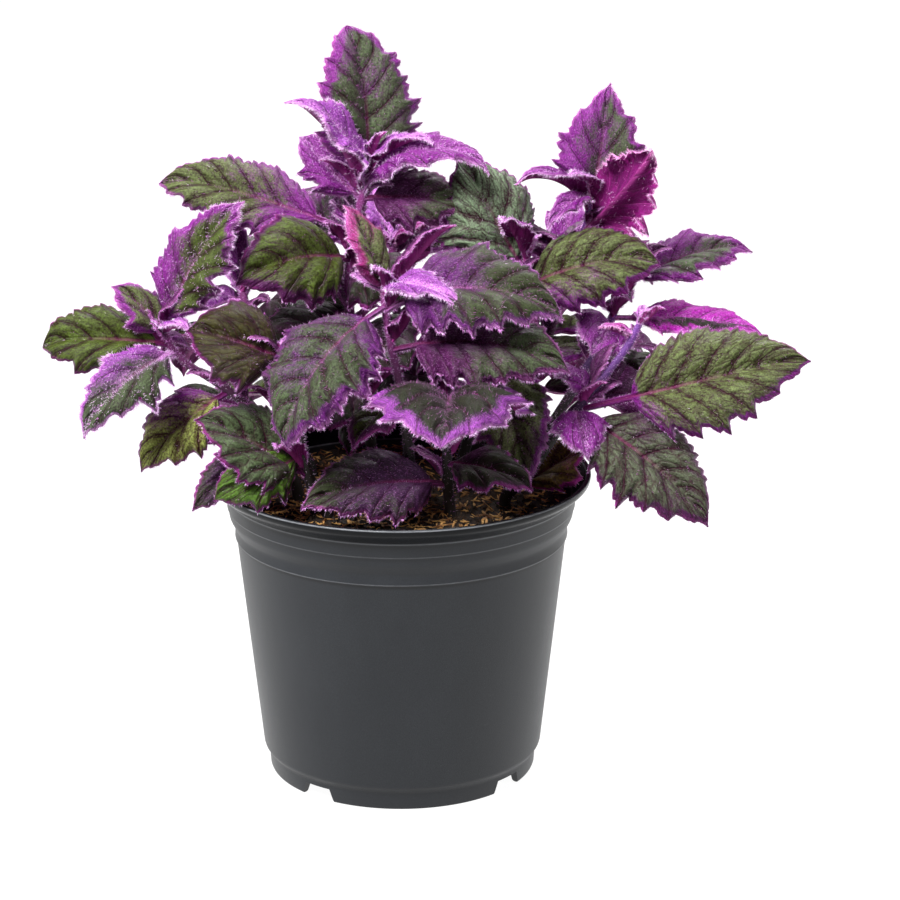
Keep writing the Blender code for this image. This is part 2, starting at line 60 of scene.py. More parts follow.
LAMPS = (
    ("key_lamp", (-0.70, -0.85, 1.50), 0.75, 71.0),
    ("side_lamp", (1.25, -0.60, 1.05), 0.6, 12.0),
    ("back_lamp", (0.3, 1.0, 1.4), 0.7, 30.0),
)

tilt = math.radians(CAMERA_HEIGHT_DEGREES)
back = Vector((0.0, -math.cos(tilt), math.sin(tilt)))
bpy.ops.object.camera_add(location=AIM + back * CAMERA_DISTANCE, rotation=(math.pi / 2.0 - tilt, 0.0, 0.0))
camera = bpy.context.object
camera.data.lens = FOCAL_LENGTH
camera.data.clip_start = 0.05
camera.data.clip_end = 50.0
bpy.context.scene.camera = camera
bpy.context.scene.view_settings.view_transform = "Standard"

world = bpy.data.worlds.new("white_room")
bpy.context.scene.world = world
world.use_nodes = True
world.node_tree.nodes["Background"].inputs["Color"].default_value = (*WHITE, 1.0)
world.node_tree.nodes["Background"].inputs["Strength"].default_value = ROOM_STRENGTH

for name, place, size, power in LAMPS:
    bpy.ops.object.light_add(type="AREA", location=place)
    lamp = bpy.context.object
    lamp.name = name
    lamp.data.size = size
    lamp.data.energy = power
    lamp.rotation_euler = (AIM - Vector(place)).to_track_quat("-Z", "Y").to_euler()

bpy.ops.mesh.primitive_plane_add(size=FLOOR_SIZE)
floor = bpy.context.object
floor.name = "floor"


class Wire:
    """An output of a material's node tree. A sum of wires and numbers adds its Math nodes."""

    def __init__(self, tree, socket=None):
        self.tree = tree
        self.socket = socket

    def node(self, kind, settings=(), inputs=(), output=0):
        """Adds a node: its settings come first, then the values or wires of its sockets."""
        made = self.tree.nodes.new("ShaderNode" + kind)
        for name, value in dict(settings).items():
            setattr(made, name, value)
        for name, value in dict(inputs).items():
            if isinstance(value, Wire):
                self.tree.links.new(value.socket, made.inputs[name])
            else:
                socket = made.inputs[name]
                socket.default_value = (*value, 1.0) if socket.type == "RGBA" else value
        return Wire(self.tree, made.outputs[output] if made.outputs else None)

    def sum(self, operation, first, second=0.0):
        return self.node("Math", {"operation": operation}, {0: first, 1: second})

    def __add__(self, other):
        return self.sum("ADD", self, other)

    def __sub__(self, other):
        return self.sum("SUBTRACT", self, other)

    def __rsub__(self, other):
        return self.sum("SUBTRACT", other, self)

    def __mul__(self, other):
        return self.sum("MULTIPLY", self, other)

    __radd__ = __add__
    __rmul__ = __mul__

    def step(self, low, high):
        """0 below low, 1 above high and smooth between them, or the other way round if low is above high."""
        return self.node("MapRange", {"interpolation_type": "SMOOTHSTEP"},
                         {"Value": self, "From Min": low, "From Max": high})

    def mix(self, first, second):
        """The first colour where this wire is 0 and the second where it is 1."""
        return self.node("Mix", {"data_type": "RGBA", "clamp_factor": True},
                         {0: self, 6: first, 7: second}, 2)

    def part(self, index):
        """One number of a vector."""
        return self.node("SeparateXYZ", (), {0: self}, index)

    def scaled(self, x, y, z):
        """A vector with each of its numbers multiplied."""
        return self.node("VectorMath", {"operation": "MULTIPLY"}, {0: self, 1: (x, y, z)})

    def moved(self, other):
        """The sum of two vectors."""
        return self.node("VectorMath", {"operation": "ADD"}, {0: self, 1: other})

    def attribute(self, name):
        """The vector that the mesh holds under this name."""
        return self.node("Attribute", {"attribute_name": name}, (), "Vector")

    def where(self):
        """The point on the object."""
        return self.node("TexCoord", (), (), "Object")

    def noise(self, where, scale, detail=2.0, roughness=0.5):
        return self.node("TexNoise", (), {"Vector": where, "Scale": scale, "Detail": detail,
                                                    "Roughness": roughness})

    def bump(self, height, distance, strength=1.0):
        return self.node("Bump", (), {"Height": height, "Distance": distance, "Strength": strength})


def finish_of(name):
    """A new material and the start of its node tree."""
    made = bpy.data.materials.new(name)
    made.use_nodes = True
    made.node_tree.nodes.clear()
    return made, Wire(made.node_tree)


def close_finish(tree, **inputs):
    """Ends a material in one Principled surface."""
    sockets = {name.replace("_", " "): value for name, value in inputs.items()}
    shader = tree.node("BsdfPrincipled", (), sockets)
    tree.node("OutputMaterial", (), {"Surface": shader})


floor_finish, tree = finish_of("white_floor")
lights_plant = tree.node("LightPath", (), (), "Is Diffuse Ray")
glow = lights_plant.mix(WHITE, (FLOOR_FILL,) * 3)
close_finish(tree, Base_Color=FLOOR_COLOUR, Roughness=0.7, Emission_Color=glow, Emission_Strength=FLOOR_GLOW)
floor.data.materials.append(floor_finish)

# The pot: one thin shell of black plastic, turned from its profile, with a flared lip, a band and a
# fine ring line below it. Its foot ring has four notches, and its floor four drain holes.
POT_STEPS = 160
POT_HEIGHT = 114.0
LIP_RADIUS = 70.0
BAND_RADIUS = 64.3
BODY_TOP_RADIUS = 61.0
BODY_FOOT_RADIUS = 52.0
FOOT_RADIUS = 49.7
WALL = 1.7
FOOT_HEIGHT = 9.0
BAND_HEIGHT = 94.5
FLOOR_UNDERSIDE = 6.8
HUB_RADIUS = 8.0
NOTCH_ANGLES = (-128.0, -38.0, 52.0, 142.0)
NOTCH_WIDTH = 16.0
NOTCH_HEIGHT = 5.0
NOTCH_DEPTH = 12.0
NOTCH_NARROWING = 4.8
CORNER_ROUNDING = 0.9
DRAIN_RADIUS = 4.5
DRAIN_RING = 37.0
LIP_FOOT = 107.2
EDGE_HIGHLIGHT_LINES = ((0.1136, 1.0), (0.1069, 0.75), (0.1018, 0.55), (0.0906, 0.8))
EDGE_HIGHLIGHT_COLOUR = (0.24, 0.25, 0.27)
UNDER_EDGE_SHADE_COLOUR = (0.002, 0.0022, 0.003)
SCUFF_COLOUR = (0.10, 0.105, 0.113)
PLASTIC_COLOUR = (0.0095, 0.0112, 0.0145)
PLASTIC_WORN = (0.021, 0.0235, 0.028)
LIP_DARKENED_COLOUR = (0.002, 0.0024, 0.0034)
LIP_DARKENED_WORN = (0.007, 0.008, 0.010)


def pick(piece):
    """Leaves this piece alone selected, and active."""
    bpy.ops.object.select_all(action="DESELECT")
    piece.select_set(True)
    bpy.context.view_layer.objects.active = piece


def placed(name, data):
    """A new object in the scene with this mesh or curve."""
    made = bpy.data.objects.new(name, data)
    bpy.context.collection.objects.link(made)
    return made


def turned(name, profile, steps):
    """A profile of (radius, z) points that starts and ends on the axis, turned about it and closed."""
    angles = 2.0 * math.pi * np.arange(steps) / steps
    radii, heights = np.array(profile)[1:-1].T[:, :, None]
    rings = np.stack(np.broadcast_arrays(radii * np.cos(angles), radii * np.sin(angles), heights), -1)
    points = np.concatenate((rings.reshape(-1, 3), [(0.0, 0.0, profile[0][1]), (0.0, 0.0, profile[-1][1])]))
    number = np.arange(len(radii) * steps).reshape(-1, steps)
    after = np.roll(number, -1, axis=1)
    sides = np.stack([number[:-1], after[:-1], after[1:], number[1:]], -1).reshape(-1, 4)
    foot, head = np.full(steps, number.size), np.full(steps, number.size + 1)
    caps = [np.stack([foot, after[0], number[0]], -1), np.stack([number[-1], after[-1], head], -1)]
    faces = sides.tolist() + np.concatenate(caps).tolist()
    mesh = bpy.data.meshes.new(name)
    mesh.from_pydata((points * MM).tolist(), [], faces)
    return placed(name, mesh)


def rounded(profile, radius):
    """The profile with each inner corner replaced by a short arc of three points."""
    points = [np.array(point, float) for point in profile]
    result = [points[0]]
    for before, corner, after in zip(points, points[1:], points[2:]):
        first, second = before - corner, after - corner
        reach = min(radius, np.linalg.norm(first) * 0.42, np.linalg.norm(second) * 0.42)
        start = corner + first / np.linalg.norm(first) * reach
        end = corner + second / np.linalg.norm(second) * reach
        result += [start, (start + end) / 4.0 + corner / 2.0, end]
    return result + [points[-1]]


def cut(piece, tool):
    """Cuts the tool out of the piece and removes the tool."""
    pick(piece)
    change = piece.modifiers.new("cut", "BOOLEAN")
    change.operation = "DIFFERENCE"
    change.solver = "EXACT"
    change.object = tool
    bpy.ops.object.modifier_apply(modifier=change.name)
    bpy.data.objects.remove(tool)


pot_profile = (
    (0.0, 0.0), (HUB_RADIUS, 0.0), (HUB_RADIUS + 0.6, FLOOR_UNDERSIDE),
    (FOOT_RADIUS - 3.0, FLOOR_UNDERSIDE), (FOOT_RADIUS - 2.5, 0.0),
    (FOOT_RADIUS, 0.0), (FOOT_RADIUS + 0.5, FOOT_HEIGHT - 2.0), (BODY_FOOT_RADIUS, FOOT_HEIGHT),
    (BODY_TOP_RADIUS - 0.1, BAND_HEIGHT - 4.4), (BODY_TOP_RADIUS + 0.55, BAND_HEIGHT - 3.9),
    (BODY_TOP_RADIUS + 0.5, BAND_HEIGHT - 3.2), (BODY_TOP_RADIUS + 0.3, BAND_HEIGHT),
    (BAND_RADIUS - 0.9, BAND_HEIGHT + 4.0), (BAND_RADIUS - 0.4, POT_HEIGHT - 12.2),
    (BAND_RADIUS - 0.05, POT_HEIGHT - 11.9), (BAND_RADIUS, POT_HEIGHT - 7.2),
    (BAND_RADIUS + 1.6, POT_HEIGHT - 5.6), (LIP_RADIUS - 1.3, POT_HEIGHT - 3.4),
    (LIP_RADIUS - 0.2, POT_HEIGHT - 2.2), (LIP_RADIUS, POT_HEIGHT - 0.4), (LIP_RADIUS - 0.4, POT_HEIGHT),
    (LIP_RADIUS - 1.6, POT_HEIGHT), (LIP_RADIUS - 2.2, POT_HEIGHT - 0.8),
    (BAND_RADIUS - WALL, POT_HEIGHT - 7.4), (BAND_RADIUS - 0.8 - WALL, BAND_HEIGHT + 4.3),
    (BODY_TOP_RADIUS + 0.3 - WALL, BAND_HEIGHT + 0.1), (BODY_FOOT_RADIUS - WALL + 0.1, FOOT_HEIGHT),
    (0.0, FOOT_HEIGHT),
)
pot = turned("nursery_pot", rounded(pot_profile, CORNER_ROUNDING), POT_STEPS)
for degrees in NOTCH_ANGLES:
    angle = math.radians(degrees)
    out = Vector((math.cos(angle), math.sin(angle), 0.0))
    middle = out * FOOT_RADIUS * MM + Vector((0, 0, NOTCH_HEIGHT / 2 - 1)) * MM
    bpy.ops.mesh.primitive_cube_add(size=1.0, location=middle, rotation=(0.0, 0.0, angle))
    notch = bpy.context.object
    notch.scale = Vector((NOTCH_DEPTH, NOTCH_WIDTH, NOTCH_HEIGHT + 2.0)) * MM
    bpy.ops.object.transform_apply(location=False, rotation=False, scale=True)
    for vertex in notch.data.vertices:
        if vertex.co.z > 0.0:
            vertex.co.y *= (NOTCH_WIDTH - NOTCH_NARROWING) / NOTCH_WIDTH
    cut(pot, notch)
    bpy.ops.mesh.primitive_cylinder_add(vertices=40, radius=DRAIN_RADIUS * MM, depth=12.0 * MM,
                                        location=out * DRAIN_RING * MM + Vector((0, 0, 8 * MM)))
    cut(pot, bpy.context.object)
pick(pot)
bpy.ops.object.shade_smooth_by_angle(angle=math.radians(32.0))


def plastic_finish(name, colour, worn_colour, roughness, gloss):
    """Black plastic, cloudy and scuffed, with pale lines of painted highlight on its sharp edges and dark
    lines of painted shade under them.
    """
    made, tree = finish_of(name)
    where = tree.where()
    grain = tree.noise(where, 2600.0, 3.0, 0.6)
    cloud = tree.noise(where.scaled(1.0, 1.0, 0.45), 26.0, 4.0, 0.62)
    scratch = tree.noise(where.scaled(1.0, 1.0, 7.0), 300.0, 5.0, 0.75)
    rubbed = scratch.step(0.60, 0.78) * cloud.step(0.45, 0.72)
    height = where.part(2)
    base = (cloud * 0.8 + (grain - 0.5) * 0.9).step(0.15, 0.75).mix(colour, worn_colour)
    base = (rubbed * 0.35).mix(base, SCUFF_COLOUR)
    # Painted highlight: a thin pale line along each sharp edge, broken up by the scratch noise.
    for level, share in EDGE_HIGHLIGHT_LINES:
        line = height.step(level - 0.0004, level) * height.step(level + 0.0004, level)
        base = (line * (scratch * 1.6 - 0.1) * share).mix(base, EDGE_HIGHLIGHT_COLOUR)
        # Painted shade: a dark line just under each edge, where shade falls.
        under_edge_shade = height.step(level - 0.0022, level - 0.0008) * height.step(level - 0.0002, level - 0.0008)
        base = (under_edge_shade * share * 0.8).mix(base, UNDER_EDGE_SHADE_COLOUR)
    close_finish(
        tree, Base_Color=base, Roughness=cloud * 0.16 + grain * 0.1 + rubbed * 0.2 + roughness,
        Specular_IOR_Level=gloss, Normal=tree.bump(grain * 0.35 + cloud * 1.2 + rubbed * 0.5, 0.00025, 0.55))
    return made


plastic = plastic_finish("black_plastic", PLASTIC_COLOUR, PLASTIC_WORN, 0.27, 0.36)
# The lip gets a glossier copy of the plastic whose colours are painted darker than the body's, a painted dark
# reflection.
lip_plastic = plastic_finish("lip_plastic", LIP_DARKENED_COLOUR, LIP_DARKENED_WORN, 0.10, 0.16)
pot.data.materials.append(plastic)
pot.data.materials.append(lip_plastic)
for face in pot.data.polygons:
    face.material_index = int(face.center.z > LIP_FOOT * MM)
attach(pot, "root")
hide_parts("pot")

# The soil: dark peat filled to 10 below the lip, crumbled at its top, with pale wood fibres and chips
# scattered over it and lying thicker at the front left, where they are seen best.
SOIL_LEVEL = 104.0
SOIL_MOUND = 1.6
SOIL_RELIEF = 0.6
SOIL_STEPS = 220
SOIL_RING_STEP = 1.15
CRUMBS = 1700
FIBRES = 1500
PEAT_DARK = (0.0045, 0.0028, 0.0018)
PEAT_BROWN = (0.036, 0.017, 0.008)
PEAT_SPECK = (0.17, 0.075, 0.022)
WOOD_RED = (0.16, 0.055, 0.014)
WOOD_PALE = (0.90, 0.50, 0.16)
WOOD_GRAIN = (0.10, 0.04, 0.012)


def soil_height(x, y):
    """The soil's surface: a low mound with small waves."""
    mound = SOIL_MOUND * (1.0 - (x * x + y * y) / (BAND_RADIUS * BAND_RADIUS))
    waves = np.sin(0.33 * x + 1.0) * np.cos(0.29 * y) + 0.5 * np.sin(0.21 * x - 0.45 * y)
    return SOIL_LEVEL + mound + SOIL_RELIEF * waves


def ramp(values):
    """The values, held between 0 and 1."""
    return np.clip(values, 0.0, 1.0)


def lumps(x, y):
    """Small lumps of the peat, from waves of several lengths that cross each other."""
    total = np.zeros_like(x)
    for turn, stretch, depth in ((0.4, 1.1, 0.42), (1.9, 1.7, 0.34), (2.7, 2.6, 0.24), (0.9, 3.9, 0.16)):
        along = x * math.cos(turn) + y * math.sin(turn)
        across = y * math.cos(turn) - x * math.sin(turn)
        winding = along * stretch + 1.3 * np.sin(across * 0.6)
        total += depth * np.sin(winding) * np.sin(across * stretch * 1.13)
    return total


inside = BODY_TOP_RADIUS + 0.3 - WALL
edge = BAND_RADIUS - WALL - 0.8
rings = tuple((radius, SOIL_LEVEL) for radius in np.arange(edge - 0.3, 0.5, -SOIL_RING_STEP))
soil_profile = ((0.0, FOOT_HEIGHT + 0.4), (BODY_FOOT_RADIUS - WALL - 0.3, FOOT_HEIGHT + 0.4),
                (inside - 0.4, BAND_HEIGHT), (BAND_RADIUS - 0.8 - WALL - 0.4, BAND_HEIGHT + 4.4),
                (edge, SOIL_LEVEL - 0.6)) + rings + ((0.0, SOIL_LEVEL),)
soil = turned("peat_soil", soil_profile, SOIL_STEPS)
points = np.empty(len(soil.data.vertices) * 3)
soil.data.vertices.foreach_get("co", points)
points = points.reshape(-1, 3) / MM
top = points[:, 2] > SOIL_LEVEL - 0.1
x, y = points[top, 0], points[top, 1]
points[top, 2] = soil_height(x, y) + lumps(x, y) * ramp((edge - np.hypot(x, y)) / 2.0)
soil.data.vertices.foreach_set("co", (points * MM).ravel())
soil.data.update()
pick(soil)
bpy.ops.object.shade_smooth()

peat, tree = finish_of("peat")
where = tree.where()
clods = tree.noise(where, 330.0, 6.0, 0.7)
specks = tree.noise(where, 1500.0, 2.0, 0.5)
base = clods.step(0.35, 0.68).mix(PEAT_DARK, PEAT_BROWN)
base = specks.step(0.60, 0.72).mix(base, PEAT_SPECK)
close_finish(tree, Base_Color=base, Roughness=clods * 0.2 + 0.75,
             Normal=tree.bump(clods + specks * 0.5, 0.0011, 1.0))
soil.data.materials.append(peat)
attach(soil, "root")
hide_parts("soil")


def mesh_piece(name, vertices, faces, finishes, kinds=None):
    """A piece from points in millimetres and faces with equal numbers of corners."""
    mesh = bpy.data.meshes.new(name)
    mesh.from_pydata((np.asarray(vertices).reshape(-1, 3) * MM).tolist(), [], faces.tolist())
    for finish in finishes:
        mesh.materials.append(finish)
    if kinds is not None:
        mesh.polygons.foreach_set("material_index", np.asarray(kinds, np.int32))
    return placed(name, mesh)


def copies(faces, points):
    """The faces of one small shape, for each of the copies in an array of their corners."""
    count, corners = points.shape[:2]
    faces = np.array(faces)
    return (faces[None] + (np.arange(count) * corners)[:, None, None]).reshape(-1, faces.shape[1])


def scatter(draw, count):
    """Places over the soil, thicker towards the front and the left."""
    radius = edge * np.sqrt(draw.random(count * 3)) * 0.985
    angle = draw.random(count * 3) * 2.0 * math.pi
    chance = 0.42 + 0.33 * ramp(-np.sin(angle)) + 0.25 * ramp(-np.cos(angle) * 1.2)
    kept = np.flatnonzero(draw.random(count * 3) < chance)[:count]
    x, y = radius[kept] * np.cos(angle[kept]), radius[kept] * np.sin(angle[kept])
    return np.stack([x, y, soil_height(x, y)], 1)


draw = np.random.default_rng(7)
bpy.ops.mesh.primitive_ico_sphere_add(subdivisions=1, radius=1.0)
ball = bpy.context.object
ball_points = np.array([vertex.co for vertex in ball.data.vertices])
ball_faces = np.array([face.vertices[:] for face in ball.data.polygons])
bpy.data.objects.remove(ball)
places = scatter(draw, CRUMBS)
sizes = draw.uniform(0.35, 1.0, (len(places), 1)) ** 1.6 * 1.5
shape = ball_points[None] * draw.uniform(0.6, 1.25, (len(places), len(ball_points), 1))
shape = shape * draw.uniform(0.6, 1.2, (len(places), 1, 3))
crumb_points = places[:, None] + np.array((0, 0, 0.15)) + shape * sizes[:, None]
crumbs = mesh_piece("peat_crumbs", crumb_points, copies(ball_faces, crumb_points), [peat])
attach(crumbs, "root")

places = scatter(draw, FIBRES)
turn = draw.uniform(0.0, math.pi, len(places))
rise = draw.normal(0.0, 0.22, len(places))
ways = np.stack([np.cos(turn) * np.cos(rise), np.sin(turn) * np.cos(rise), np.sin(rise)], 1)
sides = np.stack([-np.sin(turn), np.cos(turn), np.zeros(len(turn))], 1)
lifts = np.cross(ways, sides)
each = (len(places), 1)
reach = draw.uniform(0.5, 1.0, each) ** 1.5 * 2.6
broad = draw.uniform(0.12, 0.50, each)
thick = draw.uniform(0.08, 0.2, each)
bend = draw.normal(0.0, 0.35, each)
centre = places + np.array((0, 0, 0.75))
fibre_points = []
for share, width_share, sag in ((-1.0, 0.35, -1.0), (-0.35, 1.0, 0.4), (0.4, 0.9, 0.4), (1.0, 0.3, -1.0)):
    middle = centre + ways * reach * share + (lifts + sides) * bend * sag * 0.5
    for side, lift in ((-1, -1), (1, -1), (1, 1), (-1, 1)):
        fibre_points.append(middle + sides * side * broad * width_share + lifts * lift * thick)
fibre_points = np.stack(fibre_points, 1)
fibre_faces = [(3, 2, 1, 0), (12, 13, 14, 15)]
for ring in (0, 4, 8):
    for corner in range(4):
        after = (corner + 1) % 4
        fibre_faces.append((ring + corner, ring + after, ring + 4 + after, ring + 4 + corner))

wood, tree = finish_of("wood_fibre")
where = tree.where()
tone = tree.noise(where, 240.0, 1.0, 0.5)
grain = tree.noise(where, 2400.0, 3.0, 0.6)
base = tone.step(0.36, 0.62).mix(WOOD_RED, WOOD_PALE)
base = (grain * 0.6).mix(base, WOOD_GRAIN)
close_finish(tree, Base_Color=base, Roughness=grain * 0.2 + 0.5, Normal=tree.bump(grain, 0.0002, 0.6))
fibres = mesh_piece("wood_fibres", fibre_points, copies(fibre_faces, fibre_points), [wood])
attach(fibres, "root")

# The shoots: each is a soft stem that stands in the soil with its leaves round it, oldest at the foot.
# A shoot's row gives where it leaves the soil, the points of its stem and then a row for each leaf: the
# height of its node on the stem, its tip x, y, z, its width, in degrees how far it arches over, turns on
# its midrib and folds its halves up, the colouring it has, how slim its tip is drawn out, how far up it
# is widest and how far its outer half is raised.
Shoot = namedtuple("Shoot", "name ground stem leaves")
Leaf = namedtuple("Leaf", "height x y z width droop roll fold look taper widest lift",
                  defaults=(1.1, 0.36, 0.0))
SHOOTS = [Shoot(name, ground, stem, [Leaf(*row) for row in rows]) for name, ground, stem, *rows in (
    ("tall_shoot", (-10, 14),
     ((-13, 15, 130), (-19, 16, 170), (-17.5, 15, 198), (-13, 15, 216), (-12, 14, 228)),
     (222, -18, 27, 275, 38, 12, 0, 14, "grey_wide", 0.68, 0.25),
     (214, 34, -4, 229, 20, 98, 25, 20, "violet"),
     (216, -39, 2, 254, 22, 45, -40, 42, "lilac"),
     (212, -37, 26, 235, 20, 30, -50, 25, "violet"),
     (227, -6, 8, 240, 7, 10, 0, 38, "lilac"),
     (222, 12, -1, 239, 9, 60, 20, 38, "lilac"),
     (210, 24, 36, 230, 15, 80, 0, 25, "violet"),
     (213, 26, 6, 214, 24, 40, 50, 14, "plum_green"),
     (190, -59, -14, 190, 36, 50, -50, 14, "fresh"),
     (200, -89, 30, 219, 28, 10, -50, 14, "olive_dusk", 0.8, 0.42),
     (196, -43, 48, 207, 26, 35, -45, 14, "dusk"),
     (184, 6, -8, 181, 28, 40, 30, 14, "deep"),
     (168, -56, -12, 160, 26, 40, -30, 14, "deep"),
     (162, 4, -8, 156, 34, 40, 20, 14, "deep"),
     (150, -46, 62, 140, 32, 40, 0, 14, "grey"),
     (172, -2, 60, 176, 32, 40, 0, 14, "dusk"),
     (134, 22, 46, 130, 28, 40, 0, 14, "deep"),
     (140, -42, -14, 134, 30, 40, -20, 14, "deep")),
    ("front_shoot", (2, -22), ((4, -26, 120), (0, -29, 155), (-4, -30, 176), (-5, -30, 190)),
     (184, -42, -62, 142, 41, 48, -12, 12, "grey_edged"),
     (182, 59, -46, 186, 36, 82, 38, 16, "dusk_grey"),
     (187, -18, -22, 220, 21, 14, 0, 24, "rose"),
     (188, 23, -57, 191, 15, 70, 20, 34, "lilac"),
     (188, 19, -20, 213, 14, 30, -50, 28, "plum"),
     (168, 61, -52, 169, 34, 42, 45, 12, "plum_green"),
     (150, -17, -52, 139, 18, 40, 0, 14, "fresh")),
    ("centre_shoot", (20, 0), ((26, 3, 130), (34, 5, 160), (43, 6, 184), (47, 7, 196)),
     (188, 22, 10, 230, 36, 22, -58, -3, "teal"),
     (180, 93, -10, 198, 32, 42, 52, 14, "olive", 0.85, 0.42),
     (158, 46, -36, 119, 28, 30, 20, 14, "olive_pink"),
     (192, 37, -14, 213, 12, 40, 0, 30, "violet"),
     (165, 4, 6, 150, 26, 50, 0, 14, "deep"),
     (136, 2, -10, 128, 30, 40, 10, 14, "deep")),
    ("right_tall_shoot", (24, 16), ((34, 19, 130), (52, 22, 170), (66, 22, 196), (70, 21, 212)),
     (208, 76, 30, 254, 31, 40, 30, 16, "purple_grey", 1.4, 0.30),
     (198, 89, -19, 239, 27, 8, -75, 20, "magenta", 1.5, 0.34, 4.0),
     (206, 41, 5, 222, 11, 90, -10, 38, "violet"),
     (210, 52, -2, 206, 10, 90, -20, 28, "violet"),
     (211, 61, 6, 225, 9, 60, -20, 28, "lilac"),
     (186, 84, 62, 192, 26, 45, 0, 16, "dusk"),
     (188, 33, 22, 200, 20, 40, -20, 16, "plum"),
     (160, 30, 62, 168, 32, 45, 0, 14, "grey"),
     (146, 78, 46, 146, 30, 40, 0, 14, "olive")),
    ("left_shoot", (-38, -6),
     ((-42, -8, 118), (-52, -11, 138), (-63, -13, 149), (-79, -15, 161), (-86, -15, 172)),
     (166, -128, -24, 170, 26, 44, -50, 14, "leaf_green", 0.8, 0.45),
     (163, -113, -50, 143, 22, 74, -36, 16, "frosted"),
     (170, -57, -10, 219, 28, 20, 48, 20, "violet_green"),
     (169, -102, -16, 189, 17, 30, -50, 20, "olive_pink"),
     (171, -74, -28, 175, 9, 60, 0, 28, "lilac"),
     (148, -95, -26, 123, 26, 25, -40, 14, "dusk_light"),
     (134, -74, -42, 113, 15, 30, -50, 16, "dark_violet", 1.0, 0.45),
     (166, -108, 22, 156, 26, 50, 30, 16, "dusk"),
     (140, -88, 28, 124, 30, 45, 20, 14, "grey")),
    ("left_low_shoot", (-26, -30),
     ((-30, -32, 112), (-34, -33, 130), (-38, -31, 150), (-41, -28, 166)),
     (122, -71, -40, 148, 32, 24, -45, 12, "grey_deep"),
     (130, -67, -45, 118, 22, 35, -50, 12, "bright"),
     (164, -75, -34, 178, 34, 42, -50, 12, "deep_olive")),
    ("right_low_shoot", (38, -16),
     ((46, -19, 118), (58, -23, 138), (66, -25, 148), (80, -24, 166), (86, -23, 177)),
     (144, 146, -34, 168, 38, 38, 58, 12, "olive_green"),
     (144, 111, -52, 111, 35, 34, 38, 12, "teal_deep"),
     (168, 94, 4, 154, 16, 50, 30, 16, "plum"),
     (150, 93, 0, 142, 28, 40, 40, 16, "plum"),
     (144, 67, -46, 133, 19, 60, 0, 20, "violet"),
     (150, 55, -20, 159, 18, 50, 0, 20, "violet"),
     (172, 71, -24, 176, 8, 20, 0, 28, "magenta"),
     (113, 68, -10, 130, 24, -20, 30, 14, "brown")),
    ("right_shoot", (42, 6), ((56, 8, 130), (73, 8, 160), (82, 7, 184)),
     (182, 130, 26, 193, 24, 34, 25, 16, "purple_grey"),
     (170, 135, 8, 165, 24, 14, 12, 14, "hot"),
     (168, 69, -14, 163, 24, 40, -30, 20, "violet"),
     (180, 92, 50, 182, 26, 50, 0, 18, "dusk"),
     (150, 112, 34, 134, 32, 45, 0, 14, "grey"),
     (128, 88, 16, 116, 28, 40, 0, 14, "deep")),
    ("front_low_shoot", (18, -26), ((17, -30, 120), (17, -34, 145), (18, -38, 158)),
     (150, 15, -92, 148, 50, 70, 0, 6, "plum_frost", 0.9, 0.4, 8.0),
     (118, -35, -53, 119, 30, 26, -38, 12, "dark_violet"),
     (126, 48, -50, 124, 22, 45, 20, 14, "deep")),
    ("back_left_shoot", (-34, 20), ((-44, 26, 124), (-54, 34, 150), (-60, 40, 172)),
     (170, -48, 94, 178, 34, 45, 0, 14, "grey_edged"),
     (168, -98, 62, 152, 30, 45, 0, 14, "dusk_grey"),
     (171, -66, 44, 205, 17, 15, 0, 26, "violet"),
     (156, -88, 86, 128, 36, 50, 0, 12, "olive_green"),
     (150, -26, 88, 148, 32, 45, 0, 14, "teal"),
     (134, -66, 72, 116, 32, 40, 0, 14, "leaf_green"),
     (122, -82, 26, 116, 26, 40, 0, 14, "deep"),
     (162, -16, 24, 168, 36, 40, 0, 14, "deep")),
    ("back_shoot", (2, 36), ((2, 48, 128), (-2, 58, 155), (-4, 64, 184)),
     (182, 2, 114, 192, 36, 40, 0, 14, "dusk_grey"),
     (179, -44, 94, 182, 32, 45, 0, 14, "grey_edged"),
     (177, 46, 92, 180, 32, 45, 0, 14, "violet_green"),
     (183, -14, 78, 206, 18, 12, 0, 24, "lilac"),
     (183, 12, 60, 194, 13, 35, 0, 28, "magenta"),
     (160, -28, 118, 150, 38, 50, 0, 12, "fresh"),
     (157, 32, 116, 144, 36, 50, 0, 12, "grey"),
     (140, 0, 110, 120, 36, 45, 0, 14, "olive_green"),
     (126, -32, 84, 114, 28, 40, 0, 14, "grey_deep"),
     (128, 32, 84, 116, 28, 40, 0, 14, "teal_deep"),
     (150, 30, 36, 160, 32, 40, 0, 14, "deep"),
     (134, -21, 20, 114, 30, 40, 0, 14, "deep")),
    ("back_right_shoot", (34, 32), ((46, 42, 126), (56, 52, 152), (62, 58, 176)),
     (174, 60, 108, 176, 34, 45, 0, 14, "grey_edged"),
     (172, 98, 78, 168, 30, 45, 0, 14, "dusk_grey"),
     (175, 66, 70, 206, 18, 12, 0, 26, "violet"),
     (152, 94, 86, 130, 34, 50, 0, 12, "olive_green"),
     (147, 65, 102, 116, 34, 50, 0, 12, "fresh"),
     (132, 92, 54, 116, 30, 40, 0, 14, "teal_deep"),
     (144, 26, 78, 152, 28, 40, 0, 14, "plum_green")),
)]

